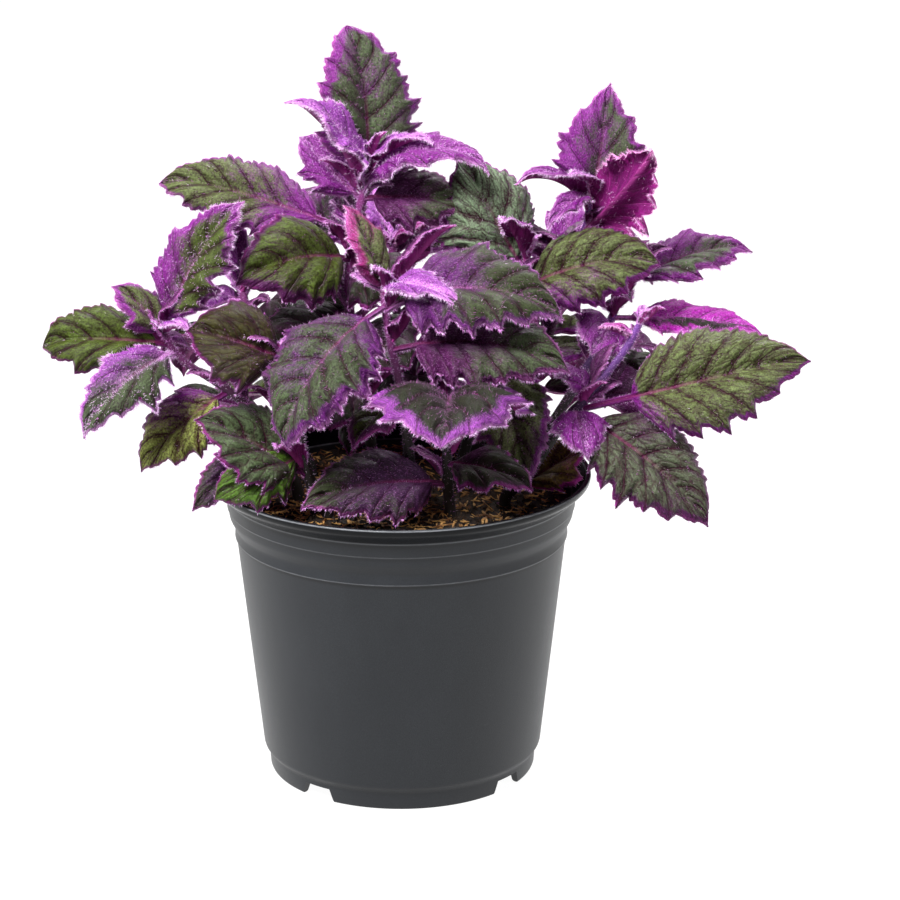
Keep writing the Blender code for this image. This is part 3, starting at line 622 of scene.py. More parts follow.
# The colourings: a green, a purple, how much purple covers the blade at its foot and at its tip, how
# far it reaches in from the margin, how clear the net of fine veins is, how thick the hairs stand, the
# kind of hair, and how much more purple one half of the blade has than the other.
GREENS = {
    # The "deep" green is nearly black: painted shade for the leaves that sit inside the plant.
    "grey": (0.038, 0.049, 0.025), "deep": (0.009, 0.010, 0.004), "fresh": (0.042, 0.056, 0.009),
    "bright": (0.045, 0.084, 0.010), "teal": (0.094, 0.118, 0.082), "olive": (0.066, 0.075, 0.030),
    "teal_deep": (0.044, 0.047, 0.032), "brown": (0.095, 0.055, 0.012), "umber": (0.024, 0.019, 0.005),
    # The "light" green is painted lighter than the leaf's own colour: a painted highlight for a leaf that
    # sits in shade.
    "light": (0.200, 0.210, 0.060), "moss": (0.025, 0.031, 0.013),
}
PURPLES = {
    "violet": (0.102, 0.008, 0.114), "lilac": (0.142, 0.034, 0.182), "magenta": (0.200, 0.006, 0.130),
    "plum": (0.038, 0.003, 0.034), "rose": (0.150, 0.012, 0.078), "hot": (0.230, 0.008, 0.215),
    "dusky": (0.018, 0.003, 0.021), "bloom": (0.068, 0.008, 0.086),
}
Look = namedtuple("Look", "green purple foot tip margin net fuzz hair lopsided", defaults=(0.0,))
LOOKS = {
    "grey": Look("grey", "plum", 0.25, 0.05, 2.6, 0.6, 0.6, 0),
    "grey_edged": Look("grey", "bloom", 0.48, 0.08, 3.6, 0.4, 1.1, 0),
    "grey_wide": Look("grey", "violet", 0.10, 0.25, 4.5, 0.4, 0.9, 0),
    "grey_deep": Look("grey", "plum", 0.10, 0.00, 1.4, 0.9, 0.5, 0),
    # The "deep" look is painted shade: leaves inside the plant coloured nearly black for the shade they sit
    # in.
    "deep": Look("deep", "plum", 0.35, 0.15, 1.4, 0.4, 0.5, 0),
    "deep_olive": Look("umber", "plum", 0.10, 0.00, 2.0, 0.9, 0.6, 0),
    "fresh": Look("fresh", "plum", 0.10, 0.22, 3.6, 0.4, 0.50, 0),
    "bright": Look("bright", "violet", 0.00, 0.00, 0.7, 1.0, 0.2, 0),
    "leaf_green": Look("fresh", "plum", 0.05, 0.00, 0.8, 0.3, 0.2, 0),
    "olive": Look("olive", "violet", 0.22, 0.02, 2.0, 0.7, 0.5, 0, 0.20),
    "olive_green": Look("olive", "violet", 0.22, -0.05, 1.8, 0.9, 0.4, 0, 0.30),
    "olive_pink": Look("olive", "violet", 0.25, 0.10, 3.0, 0.3, 1.0, 0),
    "teal": Look("teal", "violet", 0.06, 0.04, 1.6, 1.0, 0.50, 0),
    "teal_deep": Look("teal_deep", "plum", 0.20, 0.25, 2.4, 1.0, 0.50, 0),
    "brown": Look("brown", "magenta", 0.10, 0.15, 1.6, 0.4, 0.4, 2),
    "dusk": Look("grey", "violet", 0.52, 0.18, 4.0, 0.5, 1.0, 0),
    "dusk_grey": Look("moss", "bloom", 0.62, -0.04, 2.4, 0.4, 1.2, 0),
    "olive_dusk": Look("olive", "violet", 0.90, -0.15, 2.4, 0.4, 1.0, 0),
    # dusk_light uses that painted lighter green.
    "dusk_light": Look("light", "violet", 0.42, 0.00, 1.6, 0.8, 0.7, 0, 0.40),
    "violet": Look("deep", "violet", 0.85, 0.55, 6.0, 0.2, 1.3, 1),
    "violet_green": Look("fresh", "violet", 0.40, 0.20, 4.2, 0.2, 1.3, 1, -0.45),
    "frosted": Look("grey", "lilac", 0.55, -0.05, 1.8, 0.2, 1.9, 1, 0.35),
    "purple_grey": Look("grey", "violet", 0.52, 0.25, 4.5, 0.3, 1.0, 0, -0.45),
    "lilac": Look("grey", "lilac", 0.90, 0.45, 6.0, 0.1, 1.8, 1),
    "magenta": Look("deep", "magenta", 0.95, 0.80, 8.0, 0.1, 1.5, 2),
    # The "hot" look is bright magenta over one half and dark over the other: partly the leaf's colour, partly
    # a painted glow of light through the upper half and painted shade below.
    "hot": Look("deep", "hot", 0.60, 0.55, 3.0, 0.1, 1.2, 2, -0.50),
    "rose": Look("olive", "rose", 0.02, 0.25, 4.0, 0.4, 0.9, 2),
    "plum": Look("deep", "plum", 0.95, 0.75, 4.0, 0.2, 1.0, 0),
    "plum_green": Look("grey", "plum", 0.95, 0.15, 2.0, 0.5, 0.9, 0),
    "dark_violet": Look("moss", "dusky", 0.75, 0.30, 0.6, 0.4, 0.8, 0),
    "plum_frost": Look("deep", "lilac", 0.00, 0.00, 7.0, 0.3, 1.2, 1),
}

# The stems: round, a little swollen where a leaf joins, purple with a bloom of hairs, bluer on the right,
# and nearly black low down, partly woody there and partly painted shade inside the plant. Each stands in the
# soil, its foot below the surface.
ROOT_DEPTH = 12.0
STEM_FOOT_RADIUS = 2.4
STEM_TIP_RADIUS = 1.1
STEM_WOODY_AND_SHADED = (0.010, 0.007, 0.005)
STEM_BLOOM = (0.42, 0.20, 0.50)
STEM_PURPLES = ((0.12, 0.006, 0.08), (0.36, 0.04, 0.30))
STEM_BLUES = ((0.09, 0.012, 0.17), (0.26, 0.06, 0.46))


def stem_path(shoot):
    """Close points up the stem: upright in the soil, then a smooth curve through its own points."""
    foot = np.array((shoot.ground[0], shoot.ground[1], SOIL_LEVEL - ROOT_DEPTH), float)
    collar = np.array((shoot.ground[0], shoot.ground[1], SOIL_LEVEL + 4.0), float)
    knots = [foot, collar] + [np.array(point, float) for point in shoot.stem]
    knots.append(2.0 * knots[-1] - knots[-2])
    path = [foot, (foot + collar) / 2.0]
    for first, second, third, fourth in zip(knots, knots[1:], knots[2:], knots[3:]):
        for step in range(12):
            t = step / 12.0
            path.append(0.5 * (2.0 * second + (third - first) * t
                               + (2.0 * first - 5.0 * second + 4.0 * third - fourth) * t ** 2
                               + (3.0 * second - first - 3.0 * third + fourth) * t ** 3))
    path.append(knots[-2])
    return np.array(path)


def point_at_height(path, height):
    """The point of the stem at this height."""
    upper = int(np.clip(np.searchsorted(path[:, 2], height), 1, len(path) - 1))
    low, high = path[upper - 1], path[upper]
    share = min(max((height - low[2]) / (high[2] - low[2]), 0.0), 1.0)
    return low + (high - low) * share


def running_length(line):
    """How far along a line each of its points lies."""
    return np.concatenate(([0.0], np.cumsum(np.linalg.norm(np.diff(line, axis=0), axis=1))))


def stem_radii(path, shoot):
    """The stem's radius at each point, wider where a leaf joins."""
    lengths = running_length(path)
    radii = STEM_FOOT_RADIUS + (STEM_TIP_RADIUS - STEM_FOOT_RADIUS) * lengths / lengths[-1]
    for leaf in shoot.leaves:
        radii = radii * (1.0 + 0.12 * np.exp(-((path[:, 2] - leaf.height) / 3.0) ** 2))
    return radii


stem_skin, tree = finish_of("stem_skin")
where = tree.where()
ribs = tree.noise(where.scaled(1.0, 1.0, 0.12), 900.0, 3.0, 0.6)
flecks = tree.noise(where, 2600.0, 2.0, 0.6)
# Below this height the stem is painted nearly black: partly its woody foot, partly painted shade inside the
# plant.
young = where.part(2).step(0.13, 0.19)
blue = where.part(0).step(0.056, 0.068)
dark, pale = (blue.mix(purple, bluish) for purple, bluish in zip(STEM_PURPLES, STEM_BLUES))
base = young.mix(STEM_WOODY_AND_SHADED, (ribs * 0.7).mix(dark, pale))
base = (flecks.step(0.52, 0.7) * 0.6 * young).mix(base, STEM_BLOOM)
close_finish(tree, Base_Color=base, Roughness=flecks * 0.2 + 0.5, Sheen_Weight=0.1, Sheen_Roughness=0.4,
             Sheen_Tint=(0.62, 0.28, 0.75), Normal=tree.bump(ribs + flecks * 0.5, 0.0003, 0.7))

paths = {}
for shoot in SHOOTS:
    path = stem_path(shoot)
    paths[shoot.name] = path
    curve = bpy.data.curves.new(shoot.name + "_stem", "CURVE")
    curve.dimensions = "3D"
    curve.bevel_depth = MM
    curve.bevel_resolution = 3
    curve.use_fill_caps = True
    spline = curve.splines.new("POLY")
    spline.points.add(len(path) - 1)
    for point, place, radius in zip(spline.points, path, stem_radii(path, shoot)):
        point.co = (*(place * MM), 1.0)
        point.radius = radius
    pick(placed(shoot.name + "_stem", curve))
    bpy.ops.object.convert(target="MESH")
    stem = bpy.context.object
    bpy.ops.object.shade_smooth()
    stem.data.materials.clear()
    stem.data.materials.append(stem_skin)
    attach(stem, "root")

# The leaves: a thin arched blade with coarse forward teeth that carry finer ones, veins sunk in its
# upper side, swollen cells between them, a wavy margin, a round stalk and a rib that stands out below.
TOOTH_SPACING = 11.5
TOOTH_POINT = 0.72
TOOTH_DEPTH = 0.24
FINE_TOOTH_DEPTH = 0.035
STALK_HALF_WIDTH = 1.3
RIB_THICKNESS = 1.7
BLADE_THICKNESS = 0.45
VEIN_RISE = 1.5
TOOTH_ROWS = (0.053, 0.147, 0.23, 0.31, 0.387, 0.48, 0.56, 0.64, 0.72, 0.813, 0.92)
PLAIN_TOOTH_ROWS = (0.06, 0.25, 0.42, 0.58, 0.72, 0.83)
TEETH_FROM = 0.05
TEETH_SPAN = 0.9
PLAIN_LEAF_WIDTH = 8.0
STALK_ROWS = 7
COLUMN_STEP = 2.0
SHEET_GAP = 2.0
LEAST_HALF_WIDTH = 0.25
LONGEST_REACH_IN = 30.0
LEAF_KEYS = ("place", "kind", "flat", "cell", "state", "green", "purple")


def tooth_wave(place):
    """From -1 in a notch to 1 at a tooth's point: slow on the way up, quick on the way down."""
    share = place % 1.0
    up = -1.0 + 2.0 * (share / TOOTH_POINT) ** 0.5
    down = 1.0 - 2.0 * (ramp(share - TOOTH_POINT) / (1.0 - TOOTH_POINT)) ** 0.8
    return np.where(share < TOOTH_POINT, up, down)


class Blade:
    """One leaf's upper side as a grid of points, with what its finish and its hairs need to know."""

    def __init__(self, leaf, base, draw, toothing=TOOTH_ROWS):
        # The leaf's own axes: along it, across it and out of its upper face.
        tip = np.array((leaf.x, leaf.y, leaf.z), float)
        length = np.linalg.norm(tip - base)
        along = (tip - base) / length
        up = np.array((0.0, 0.0, 1.0)) - along * along[2]
        if np.linalg.norm(up) < 0.15:
            up = np.array((0.0, -1.0, 0.0)) + along * along[1]
        up = up / np.linalg.norm(up)
        roll = math.radians(leaf.roll)
        face = up * math.cos(roll) + np.cross(along, up) * math.sin(roll)
        across = np.cross(along, face)
        bend = math.radians(leaf.droop)
        arc = length * bend / (2.0 * math.sin(bend / 2.0))
        fold = math.radians(leaf.fold)
        young = min(max(1.25 - leaf.width / 24.0, (LOOKS[leaf.look].fuzz - 0.8) * 0.9, 0.0), 0.85)
        stalk = 0.12 + 0.005 * max(0.0, length - 60.0)
        teeth = int(min(max(round(length / TOOTH_SPACING), 2), 6))
        if leaf.width < PLAIN_LEAF_WIDTH:
            toothing = PLAIN_TOOTH_ROWS

        # Rows up the leaf, close together at each tooth, and columns across it. The midrib is an arc.
        blade_rows = [TEETH_FROM + TEETH_SPAN * (tooth + key) / teeth
                      for tooth in range(teeth) for key in toothing]
        blade_rows = np.array([0.02] + blade_rows + [0.965, 0.985, 1.0])
        u = np.concatenate((np.linspace(0.0, stalk, STALK_ROWS), stalk + (1.0 - stalk) * blade_rows))[:, None]
        half_columns = int(np.clip(round(leaf.width / 2.0 / COLUMN_STEP), 3, 10))
        v = np.linspace(1.0, -1.0, 2 * half_columns + 1)[None, :]
        out, side = np.abs(v), np.sign(v)
        slope = bend * (0.5 - u)
        run = arc / bend * (math.sin(bend / 2.0) - np.sin(slope))
        rise = arc / bend * (np.cos(slope) - math.cos(bend / 2.0))
        tangent = along * np.cos(slope) + face * np.sin(slope)
        normal = face * np.cos(slope) - along * np.sin(slope)
        middle = base + along * run + face * rise

        # The margin: half the width of each row, and the teeth, which lean forward and carry finer ones.
        t = ramp((u - stalk) / (1.0 - stalk))
        foot_bend = leaf.taper * leaf.widest / (1.0 - leaf.widest)
        slimming = ((1.0 - t) / (1.0 - leaf.widest)) ** leaf.taper
        half = leaf.width / 2.0 * (t / leaf.widest) ** foot_bend * slimming
        half = np.where(u < 0.3, np.maximum(half, STALK_HALF_WIDTH), half)
        half = np.maximum(half, LEAST_HALF_WIDTH)
        place = (t - TEETH_FROM) / TEETH_SPAN * teeth
        toothed = ramp(place * 3.0) * ramp((teeth - place) * 3.0)
        lower = -np.clip(across[2] * 3.0, -1.0, 1.0)
        bite = 1.0 + 0.4 * np.sin(np.floor(place) * 2.4 + side * 1.7 + draw.uniform(0.0, 6.0))
        bite = bite * (0.85 + 0.5 * side * lower)
        depth = TOOTH_DEPTH * bite * (1.35 - 0.6 * t) * (1.0 + 1.2 * young)
        wave = tooth_wave(place) * toothed
        small = tooth_wave(place * 3.0 + 0.56) * toothed * (1.0 + 0.5 * np.sin(place * 2.2 + side))
        span = half * (1.0 + (depth / 2.0 * wave + FINE_TOOTH_DEPTH * (1.0 + young) * small) * out ** 2.2)
        tooth_length = TEETH_SPAN * (1.0 - stalk) * length / teeth
        point = (wave + 1.0) / 2.0 * toothed
        lean = point * out ** 3 * tooth_length * 0.2 * ramp(half / 8.0)

        # The relief: swollen cells between the veins, a sunk midrib, a wavy margin and a hooked tip.
        phase = place - TOOTH_POINT + VEIN_RISE * (1.0 - out) ** 1.2
        cells = np.abs(np.sin(math.pi * phase)) ** 0.7
        spread = np.sin(math.pi * ramp(out * 0.9 + 0.05)) ** 0.6
        swell = draw.uniform(0.8, 1.3) * 0.055 * half * cells * spread * ramp(t * 6.0)
        crown = half * (0.72 * out * (1.0 - out) - draw.uniform(0.14, 0.34) * out ** 3)
        groove = -0.5 * np.exp(-(out * half / 1.1) ** 2) * ramp(t * 8.0)
        ripple = draw.uniform(0.05, 0.09) * (1.0 + 2.6 * young) * half * out ** 2 * np.sin(
            2.0 * math.pi * place * draw.uniform(0.45, 0.6) + side * draw.uniform(0.5, 2.5))
        twist = draw.uniform(-0.14, 0.14) * half * v * (u - 0.4)
        curl = draw.uniform(-1.6, 0.3) * out ** 5 * point * np.clip(half / 8.0, 0.2, 1.0)
        hook = -draw.uniform(0.03, 0.075) * length * ramp((u - 0.80) / 0.20) ** 2
        round_stalk = 0.7 * (1.0 - out ** 2) * ramp(1.0 - t * 9.0)
        raised = leaf.lift * ramp((u - 0.35) / 0.65) ** 1.4
        lift = (out * span * math.sin(fold) + crown + swell + groove + ripple + twist + curl + hook
                + round_stalk + raised)
        sweep = draw.choice((-1.0, 1.0)) * draw.uniform(0.012, 0.035) * length * np.sin(math.pi * u)
        sweep = sweep + lower * draw.uniform(0.015, 0.04) * length * ramp((u - 0.82) / 0.18) ** 2

        self.points = (middle[:, None] + normal[:, None] * lift[..., None]
                       + across * (v * span * math.cos(fold) + sweep)[..., None]
                       + tangent[:, None] * lean[..., None])
        self.normals = unit(np.cross(np.gradient(self.points, axis=0), np.gradient(self.points, axis=1)))
        slim = np.exp(-(out * half / 1.0) ** 2) * (1.0 - t) ** 0.7
        self.thickness = BLADE_THICKNESS * (1.0 - 0.5 * out ** 4) + (RIB_THICKNESS - BLADE_THICKNESS) * slim
        self.thickness[-1] = 0.25
        self.look, self.length, self.width = LOOKS[leaf.look], length, leaf.width

        # What the finish is told of each point.
        look = self.look
        ends = np.ones_like(phase)
        clouds = 0.10 * np.sin(u * 7.0 + v * 2.0 + draw.uniform(0, 6)) + 0.06 * np.sin(u * 15.0 - v * 5.0)
        cover = look.foot + (look.tip - look.foot) * ramp(u * 1.5 - 0.25) + clouds
        cover = cover + look.lopsided * v * ramp(out * 3.0)
        cover = np.where(t < 0.02, 0.9, cover)
        vein_step = TOOTH_POINT * tooth_length
        seed = ends * draw.uniform(0.0, 900.0)
        to_margin = np.clip((1.0 - out) * span, 0.0, LONGEST_REACH_IN)
        self.place = np.stack([phase, look.fuzz * ends, to_margin], -1)
        self.kind = np.stack([vein_step * ends, cover, to_margin / look.margin], -1)
        self.flat = np.stack([u * length * ends, v * half, seed], -1)
        self.cell = np.stack([phase * vein_step, out * half, seed], -1)
        self.state = np.stack([t * ends, look.net * ends], -1)


def unit(vectors):
    return vectors / (np.linalg.norm(vectors, axis=-1, keepdims=True) + 1e-9)


def sheet_places(sizes):
    """Lays rectangles on shelves, tallest first, and gives each one's corner and the sheet's side."""
    breadth = 1.06 * math.sqrt(sum((wide + SHEET_GAP) * (tall + SHEET_GAP) for wide, tall in sizes))
    corners, x, y, shelf = [None] * len(sizes), 0.0, 0.0, 0.0
    for index in sorted(range(len(sizes)), key=lambda index: -sizes[index][1]):
        wide, tall = sizes[index]
        if x + wide + SHEET_GAP > breadth:
            x, y, shelf = 0.0, y + shelf, 0.0
        corners[index] = (x + SHEET_GAP / 2.0, y + SHEET_GAP / 2.0)
        x, shelf = x + wide + SHEET_GAP, max(shelf, tall + SHEET_GAP)
    return corners, max(breadth, y + shelf)


def leaves_piece(name, blades_here, finish):
    """All blades of a shoot in one mesh: each has an upper side, a lower side and a thin rim."""
    sizes = [(blade.width, blade.length) for blade in blades_here for _ in range(2)]
    corners, breadth = sheet_places(sizes)
    points, faces, sheet, vectors = [], [], [], {}
    start = 0
    for index, blade in enumerate(blades_here):
        rows, columns = blade.points.shape[:2]
        count = rows * columns
        number = np.arange(count).reshape(rows, columns)
        below = blade.points - blade.normals * blade.thickness[..., None]
        near, far = number[:-1], number[1:]
        quads = np.stack([near[:, :-1], far[:, :-1], far[:, 1:], near[:, 1:]], -1).reshape(-1, 4)
        edges = [(number[:-1, 0], number[1:, 0]), (number[1:, -1], number[:-1, -1]),
                 (number[0, 1:], number[0, :-1]), (number[-1, :-1], number[-1, 1:])]
        rim = [np.stack([last, first, first + count, last + count], -1) for first, last in edges]
        rim = np.concatenate(rim)
        points += [blade.points.reshape(-1, 3), below.reshape(-1, 3)]
        faces.append(np.concatenate((quads, quads[:, ::-1] + count, rim)) + start)

        down = np.linspace(0.0, blade.length, rows)[:, None] * np.ones((1, columns))
        over = np.linspace(0.0, blade.width, columns)[None, :] * np.ones((rows, 1))
        upper, lower = (np.stack([x + over, y + down], -1).reshape(-1, 2)
                        for x, y in corners[2 * index:2 * index + 2])
        centre = upper.mean(0)
        outward = upper[rim[:, :2]] + np.sign(upper[rim[:, :2]] - centre) * 0.25
        sheet += [upper[quads].reshape(-1, 2), lower[quads[:, ::-1]].reshape(-1, 2),
                  np.concatenate((upper[rim[:, :2]], outward[:, ::-1]), 1).reshape(-1, 2)]

        for side in (0.0, 1.0):
            state = np.concatenate((np.full((count, 1), side), blade.state.reshape(-1, 2)), 1)
            green = np.tile(GREENS[blade.look.green], (count, 1))
            purple = np.tile(PURPLES[blade.look.purple], (count, 1))
            known = (blade.place, blade.kind, blade.flat, blade.cell, state, green, purple)
            for key, values in zip(LEAF_KEYS, known):
                vectors.setdefault("leaf_" + key, []).append(values.reshape(-1, 3))
        start += 2 * count
    made = mesh_piece(name, np.concatenate(points), np.concatenate(faces), [finish])
    for key, values in vectors.items():
        data = made.data.attributes.new(key, "FLOAT_VECTOR", "POINT").data
        data.foreach_set("vector", np.concatenate(values).astype(np.float32).ravel())
    sheet_map = made.data.uv_layers.new(name="OFBake")
    sheet_map.data.foreach_set("uv", (np.concatenate(sheet) / breadth).astype(np.float32).ravel())
    made.data.polygons.foreach_set("use_smooth", np.ones(len(made.data.polygons), bool))
    return made


# The leaf's skin: green puffed fields between dark sunken veins, with purple that spreads in from the
# margin, the foot and the tip, and a bloom of fine hairs over both. Its underside is purple all over.
VEIN_COLOUR = (0.034, 0.003, 0.014)
MIDRIB_COLOUR = (0.17, 0.014, 0.085)
GLINTS = ((0.30, 0.27, 0.28), (0.70, 0.27, 0.72))
RIM_COLOURS = ((0.62, 0.07, 0.46), (0.88, 0.42, 0.86))
UNDERSIDE = ((0.070, 0.002, 0.048), (0.25, 0.006, 0.165))
UNDER_VEIN = (0.42, 0.05, 0.28)
UNDER_BLOOM = (0.50, 0.14, 0.50)
leaf_skin, tree = finish_of("leaf_skin")
place, kind, flat, cell, state, green, purple = (tree.attribute("leaf_" + key) for key in LEAF_KEYS)
phase, hairy, to_margin = place.part(0), place.part(1), place.part(2)
vein_step, cover, edged = kind.part(0), kind.part(1), kind.part(2)
below, up_blade, net_share = state.part(0), state.part(1), state.part(2)
beside = tree.sum("PINGPONG", phase, 0.5)
panel = beside.step(0.0, 0.30)
vein = (beside * vein_step).step(0.34, 0.05)
midrib = cell.part(1).step(1.0, 0.25)

# The fine net of veins, and the noises that break up every colour.
wander = tree.node("TexNoise", (), {"Vector": flat, "Scale": 0.3, "Detail": 1.0}, "Color")
wander = wander.scaled(1.6, 1.6, 0.0)
net_edge = tree.node("TexVoronoi", {"feature": "DISTANCE_TO_EDGE"},
                     {"Vector": cell.scaled(1.0, 1.15, 1.0).moved(wander), "Scale": 0.30, "Randomness": 0.95},
                     "Distance")
net = net_edge.step(0.085, 0.01) * net_share
puff = net_edge.step(0.0, 0.4) * net_share
streak = tree.noise(cell.scaled(1.0, 0.5, 1.0).moved(wander), 1.0, 3.0, 0.65)
grain = tree.noise(flat, 1.6, 2.0, 0.65)
fuzz = tree.noise(flat.scaled(1.0, 2.2, 1.0), 1.7, 3.0, 0.72)
spark = tree.noise(flat.scaled(0.7, 1.9, 1.0), 2.1, 2.0, 0.65)
mottle = tree.noise(flat, 0.2, 3.0, 0.6)

# The upper side: green between the veins, lighter on the swollen fields as a painted highlight, purple over
# it where the bloom is thick, then the painted glints.
# The noises vary the tone at random; the panel and puff terms are a painted highlight on the swollen fields
# between the veins.
light = streak - 0.5 + (grain - 0.5) * 1.6 + (mottle - 0.5) * 0.5 + panel * 0.3 + puff * 0.2 + 0.08
lit = light.mix(green.scaled(0.29, 0.10, 0.17), green.scaled(2.6, 3.0, 2.5))
haze = (edged + (mottle - 0.5) * 0.8).step(1.1, 0.0)
bloom = (cover + haze * 0.8 + (mottle - 0.5) * 0.6 - (streak - 0.5) * 0.5) * 1.35 + fuzz * 0.9 - 0.85
violet = (fuzz * 0.9 + grain * 0.4 + streak * 0.3 - 0.4).step(0.1, 0.75).mix(
    purple.scaled(0.26, 0.08, 0.20), purple.scaled(3.0, 2.4, 3.0))
top = bloom.step(-0.12, 0.5).mix(lit, violet)
top = (vein * 0.6 + net * 0.45).mix(top, VEIN_COLOUR)
top = (midrib * up_blade.step(0.75, 0.0) * 0.7).mix(top, MIDRIB_COLOUR)
tinted = bloom.step(-0.2, 0.4)
# Painted highlights: glints of hairs catching the light, scattered by the spark noise and stronger along the
# midrib's crest on the hairy leaves.
glint = tinted.mix(*GLINTS)
crest_glint = cell.part(1).step(3.2, 0.4) * (hairy - 0.9)
glinting = spark.step(0.52, 0.72) * 0.3 + crest_glint * spark.step(0.35, 0.6) * 0.5
top = (glinting * hairy * (tinted + 0.2)).mix(top, glint)
rim = to_margin.step(1.0, 0.1)
rim_hairs = hairy.step(0.5, 1.5).mix(*RIM_COLOURS)
top = (rim * (fuzz.step(0.35, 0.65) * 0.6 + 0.15) * (hairy * 0.5 + 0.4)).mix(top, rim_hairs)

# The underside and the relief.
under = (streak * 0.7 + mottle * 0.5).step(0.35, 0.85).mix(*UNDERSIDE)
under = (vein * 0.35 + midrib * 0.8).mix(under, UNDER_VEIN)
under = (spark.step(0.54, 0.72) * 0.4).mix(under, UNDER_BLOOM)
relief = (streak * 0.15 + grain * 0.4 + panel * 0.75 + puff * 0.6 - vein * 0.4 - net * 0.2 - midrib * 0.5
          + fuzz * 0.4)
close_finish(tree, Base_Color=below.mix(top, under), Roughness=fuzz * 0.15 + hairy * 0.1 + 0.25,
             Specular_IOR_Level=0.2, Sheen_Weight=0.08, Sheen_Roughness=0.3, Sheen_Tint=(0.6, 0.2, 0.6),
             Normal=tree.bump(relief, 0.0007, 0.9))

# Besides the leaves of the table, each stem ends in a bud of four tiny ones, and a small young leaf
# stands between the stem and the stalk of each older leaf.
BUD_LENGTH = 9.0
SPROUT_LENGTHS = (14.0, 24.0)
OLDER_LEAF_WIDTH = 20.0
PURPLE_FROM = 182.0
blades = {}
for number, shoot in enumerate(SHOOTS):
    draw = np.random.default_rng(100 + number)
    toothing = PLAIN_TOOTH_ROWS if shoot.name.startswith("back") else TOOTH_ROWS
    path = paths[shoot.name]
    made = [Blade(leaf, point_at_height(path, leaf.height), draw, toothing) for leaf in shoot.leaves]
    end = path[-1]
    heading = unit(end - path[-4])
    for turn in range(4):
        angle = 2.4 * turn + number
        aside = np.array((math.cos(angle), math.sin(angle), 0.0))
        way = heading * (0.75 + 0.08 * turn) + aside * (0.55 - 0.1 * turn)
        bud_tip = end + way * (BUD_LENGTH - 1.2 * turn)
        bud = Leaf(0.0, *bud_tip, 4.6 - 0.4 * turn, 50.0, 20.0 * (turn - 1.5), 34.0, "lilac")
        made.append(Blade(bud, end - heading, draw))
    for leaf in shoot.leaves:
        if leaf.width < OLDER_LEAF_WIDTH:
            continue
        node = point_at_height(path, leaf.height + 2.0)
        aside = unit(np.array((leaf.x - node[0], leaf.y - node[1], 0.0)))
        turn = draw.uniform(-0.7, 0.7)
        aside = np.array((aside[0] * math.cos(turn) - aside[1] * math.sin(turn),
                          aside[0] * math.sin(turn) + aside[1] * math.cos(turn), draw.uniform(0.5, 1.4)))
        reach = draw.uniform(*SPROUT_LENGTHS)
        look = ("violet", "plum")[draw.integers(0, 2) if leaf.height > PURPLE_FROM else 1]
        sprout_tip = node + unit(aside) * reach
        sprout = Leaf(0.0, *sprout_tip, reach * 0.45, 45.0, draw.uniform(-35.0, 35.0), 24.0, look)
        made.append(Blade(sprout, node, draw))
    blades[shoot.name] = made
    leaves = leaves_piece(shoot.name + "_leaves", made, leaf_skin)
    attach(leaves, "root")
    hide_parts(shoot.name)

# The hairs: soft and up to about two millimetres long, thickest on the margins, the veins, the stems and
# the youngest leaves. Each is a slim closed spike with its root sunk in the skin.
HAIR_RADIUS = 0.07
MARGIN_GAP = 0.26
HAIRS_PER_SQUARE = 0.27
STEM_HAIRS_PER_SQUARE = 0.7
BACK_SHARE = 0.5
UNDERSIDE_SHARE = 0.25
HAIR_SUNK = 0.08
BRIGHT_FACE_FUZZ = 1.25
HAIR_COLOURS = (
    ("violet_hair", (0.82, 0.28, 0.84)),
    ("lilac_hair", (0.93, 0.68, 0.97)),
    ("pink_hair", (0.95, 0.36, 0.76)),
    ("dusky_hair", (0.36, 0.10, 0.33)),
)
DUSKY_HAIR = 3
hair_finishes = []
for name, colour in HAIR_COLOURS:
    finish, tree = finish_of(name)
    close_finish(tree, Base_Color=colour, Roughness=0.6, Sheen_Weight=0.3)
    hair_finishes.append(finish)


def sampled(values, lengths, where):
    """The values of a line's points at these lengths along it."""
    return np.stack([np.interp(where, lengths, values[:, axis]) for axis in range(3)], 1)


def margin_hairs(blade, draw, share):
    """Roots and ways of the fringe along both margins and round the tip."""
    roots, ways = [], []
    for outer, inner in ((0, 1), (-1, -2)):
        line, aside = blade.points[:, outer], unit(blade.points[:, outer] - blade.points[:, inner])
        lengths = running_length(line)
        count = int(lengths[-1] / MARGIN_GAP * (0.6 + 0.8 * blade.look.fuzz) * share)
        where = draw.uniform(0.0, lengths[-1], count)
        forward = unit(np.gradient(line, axis=0))
        sample = [sampled(value, lengths, where) for value in (line, aside, forward, blade.normals[:, outer])]
        tilt, turn = draw.normal(0.15, 0.55, (count, 1)), draw.normal(0.25, 0.35, (count, 1))
        roots.append(sample[0] - sample[1] * HAIR_SUNK - sample[3] * 0.2)
        ways.append(unit(sample[1] + sample[2] * turn + sample[3] * tilt))
    return np.concatenate(roots), np.concatenate(ways)


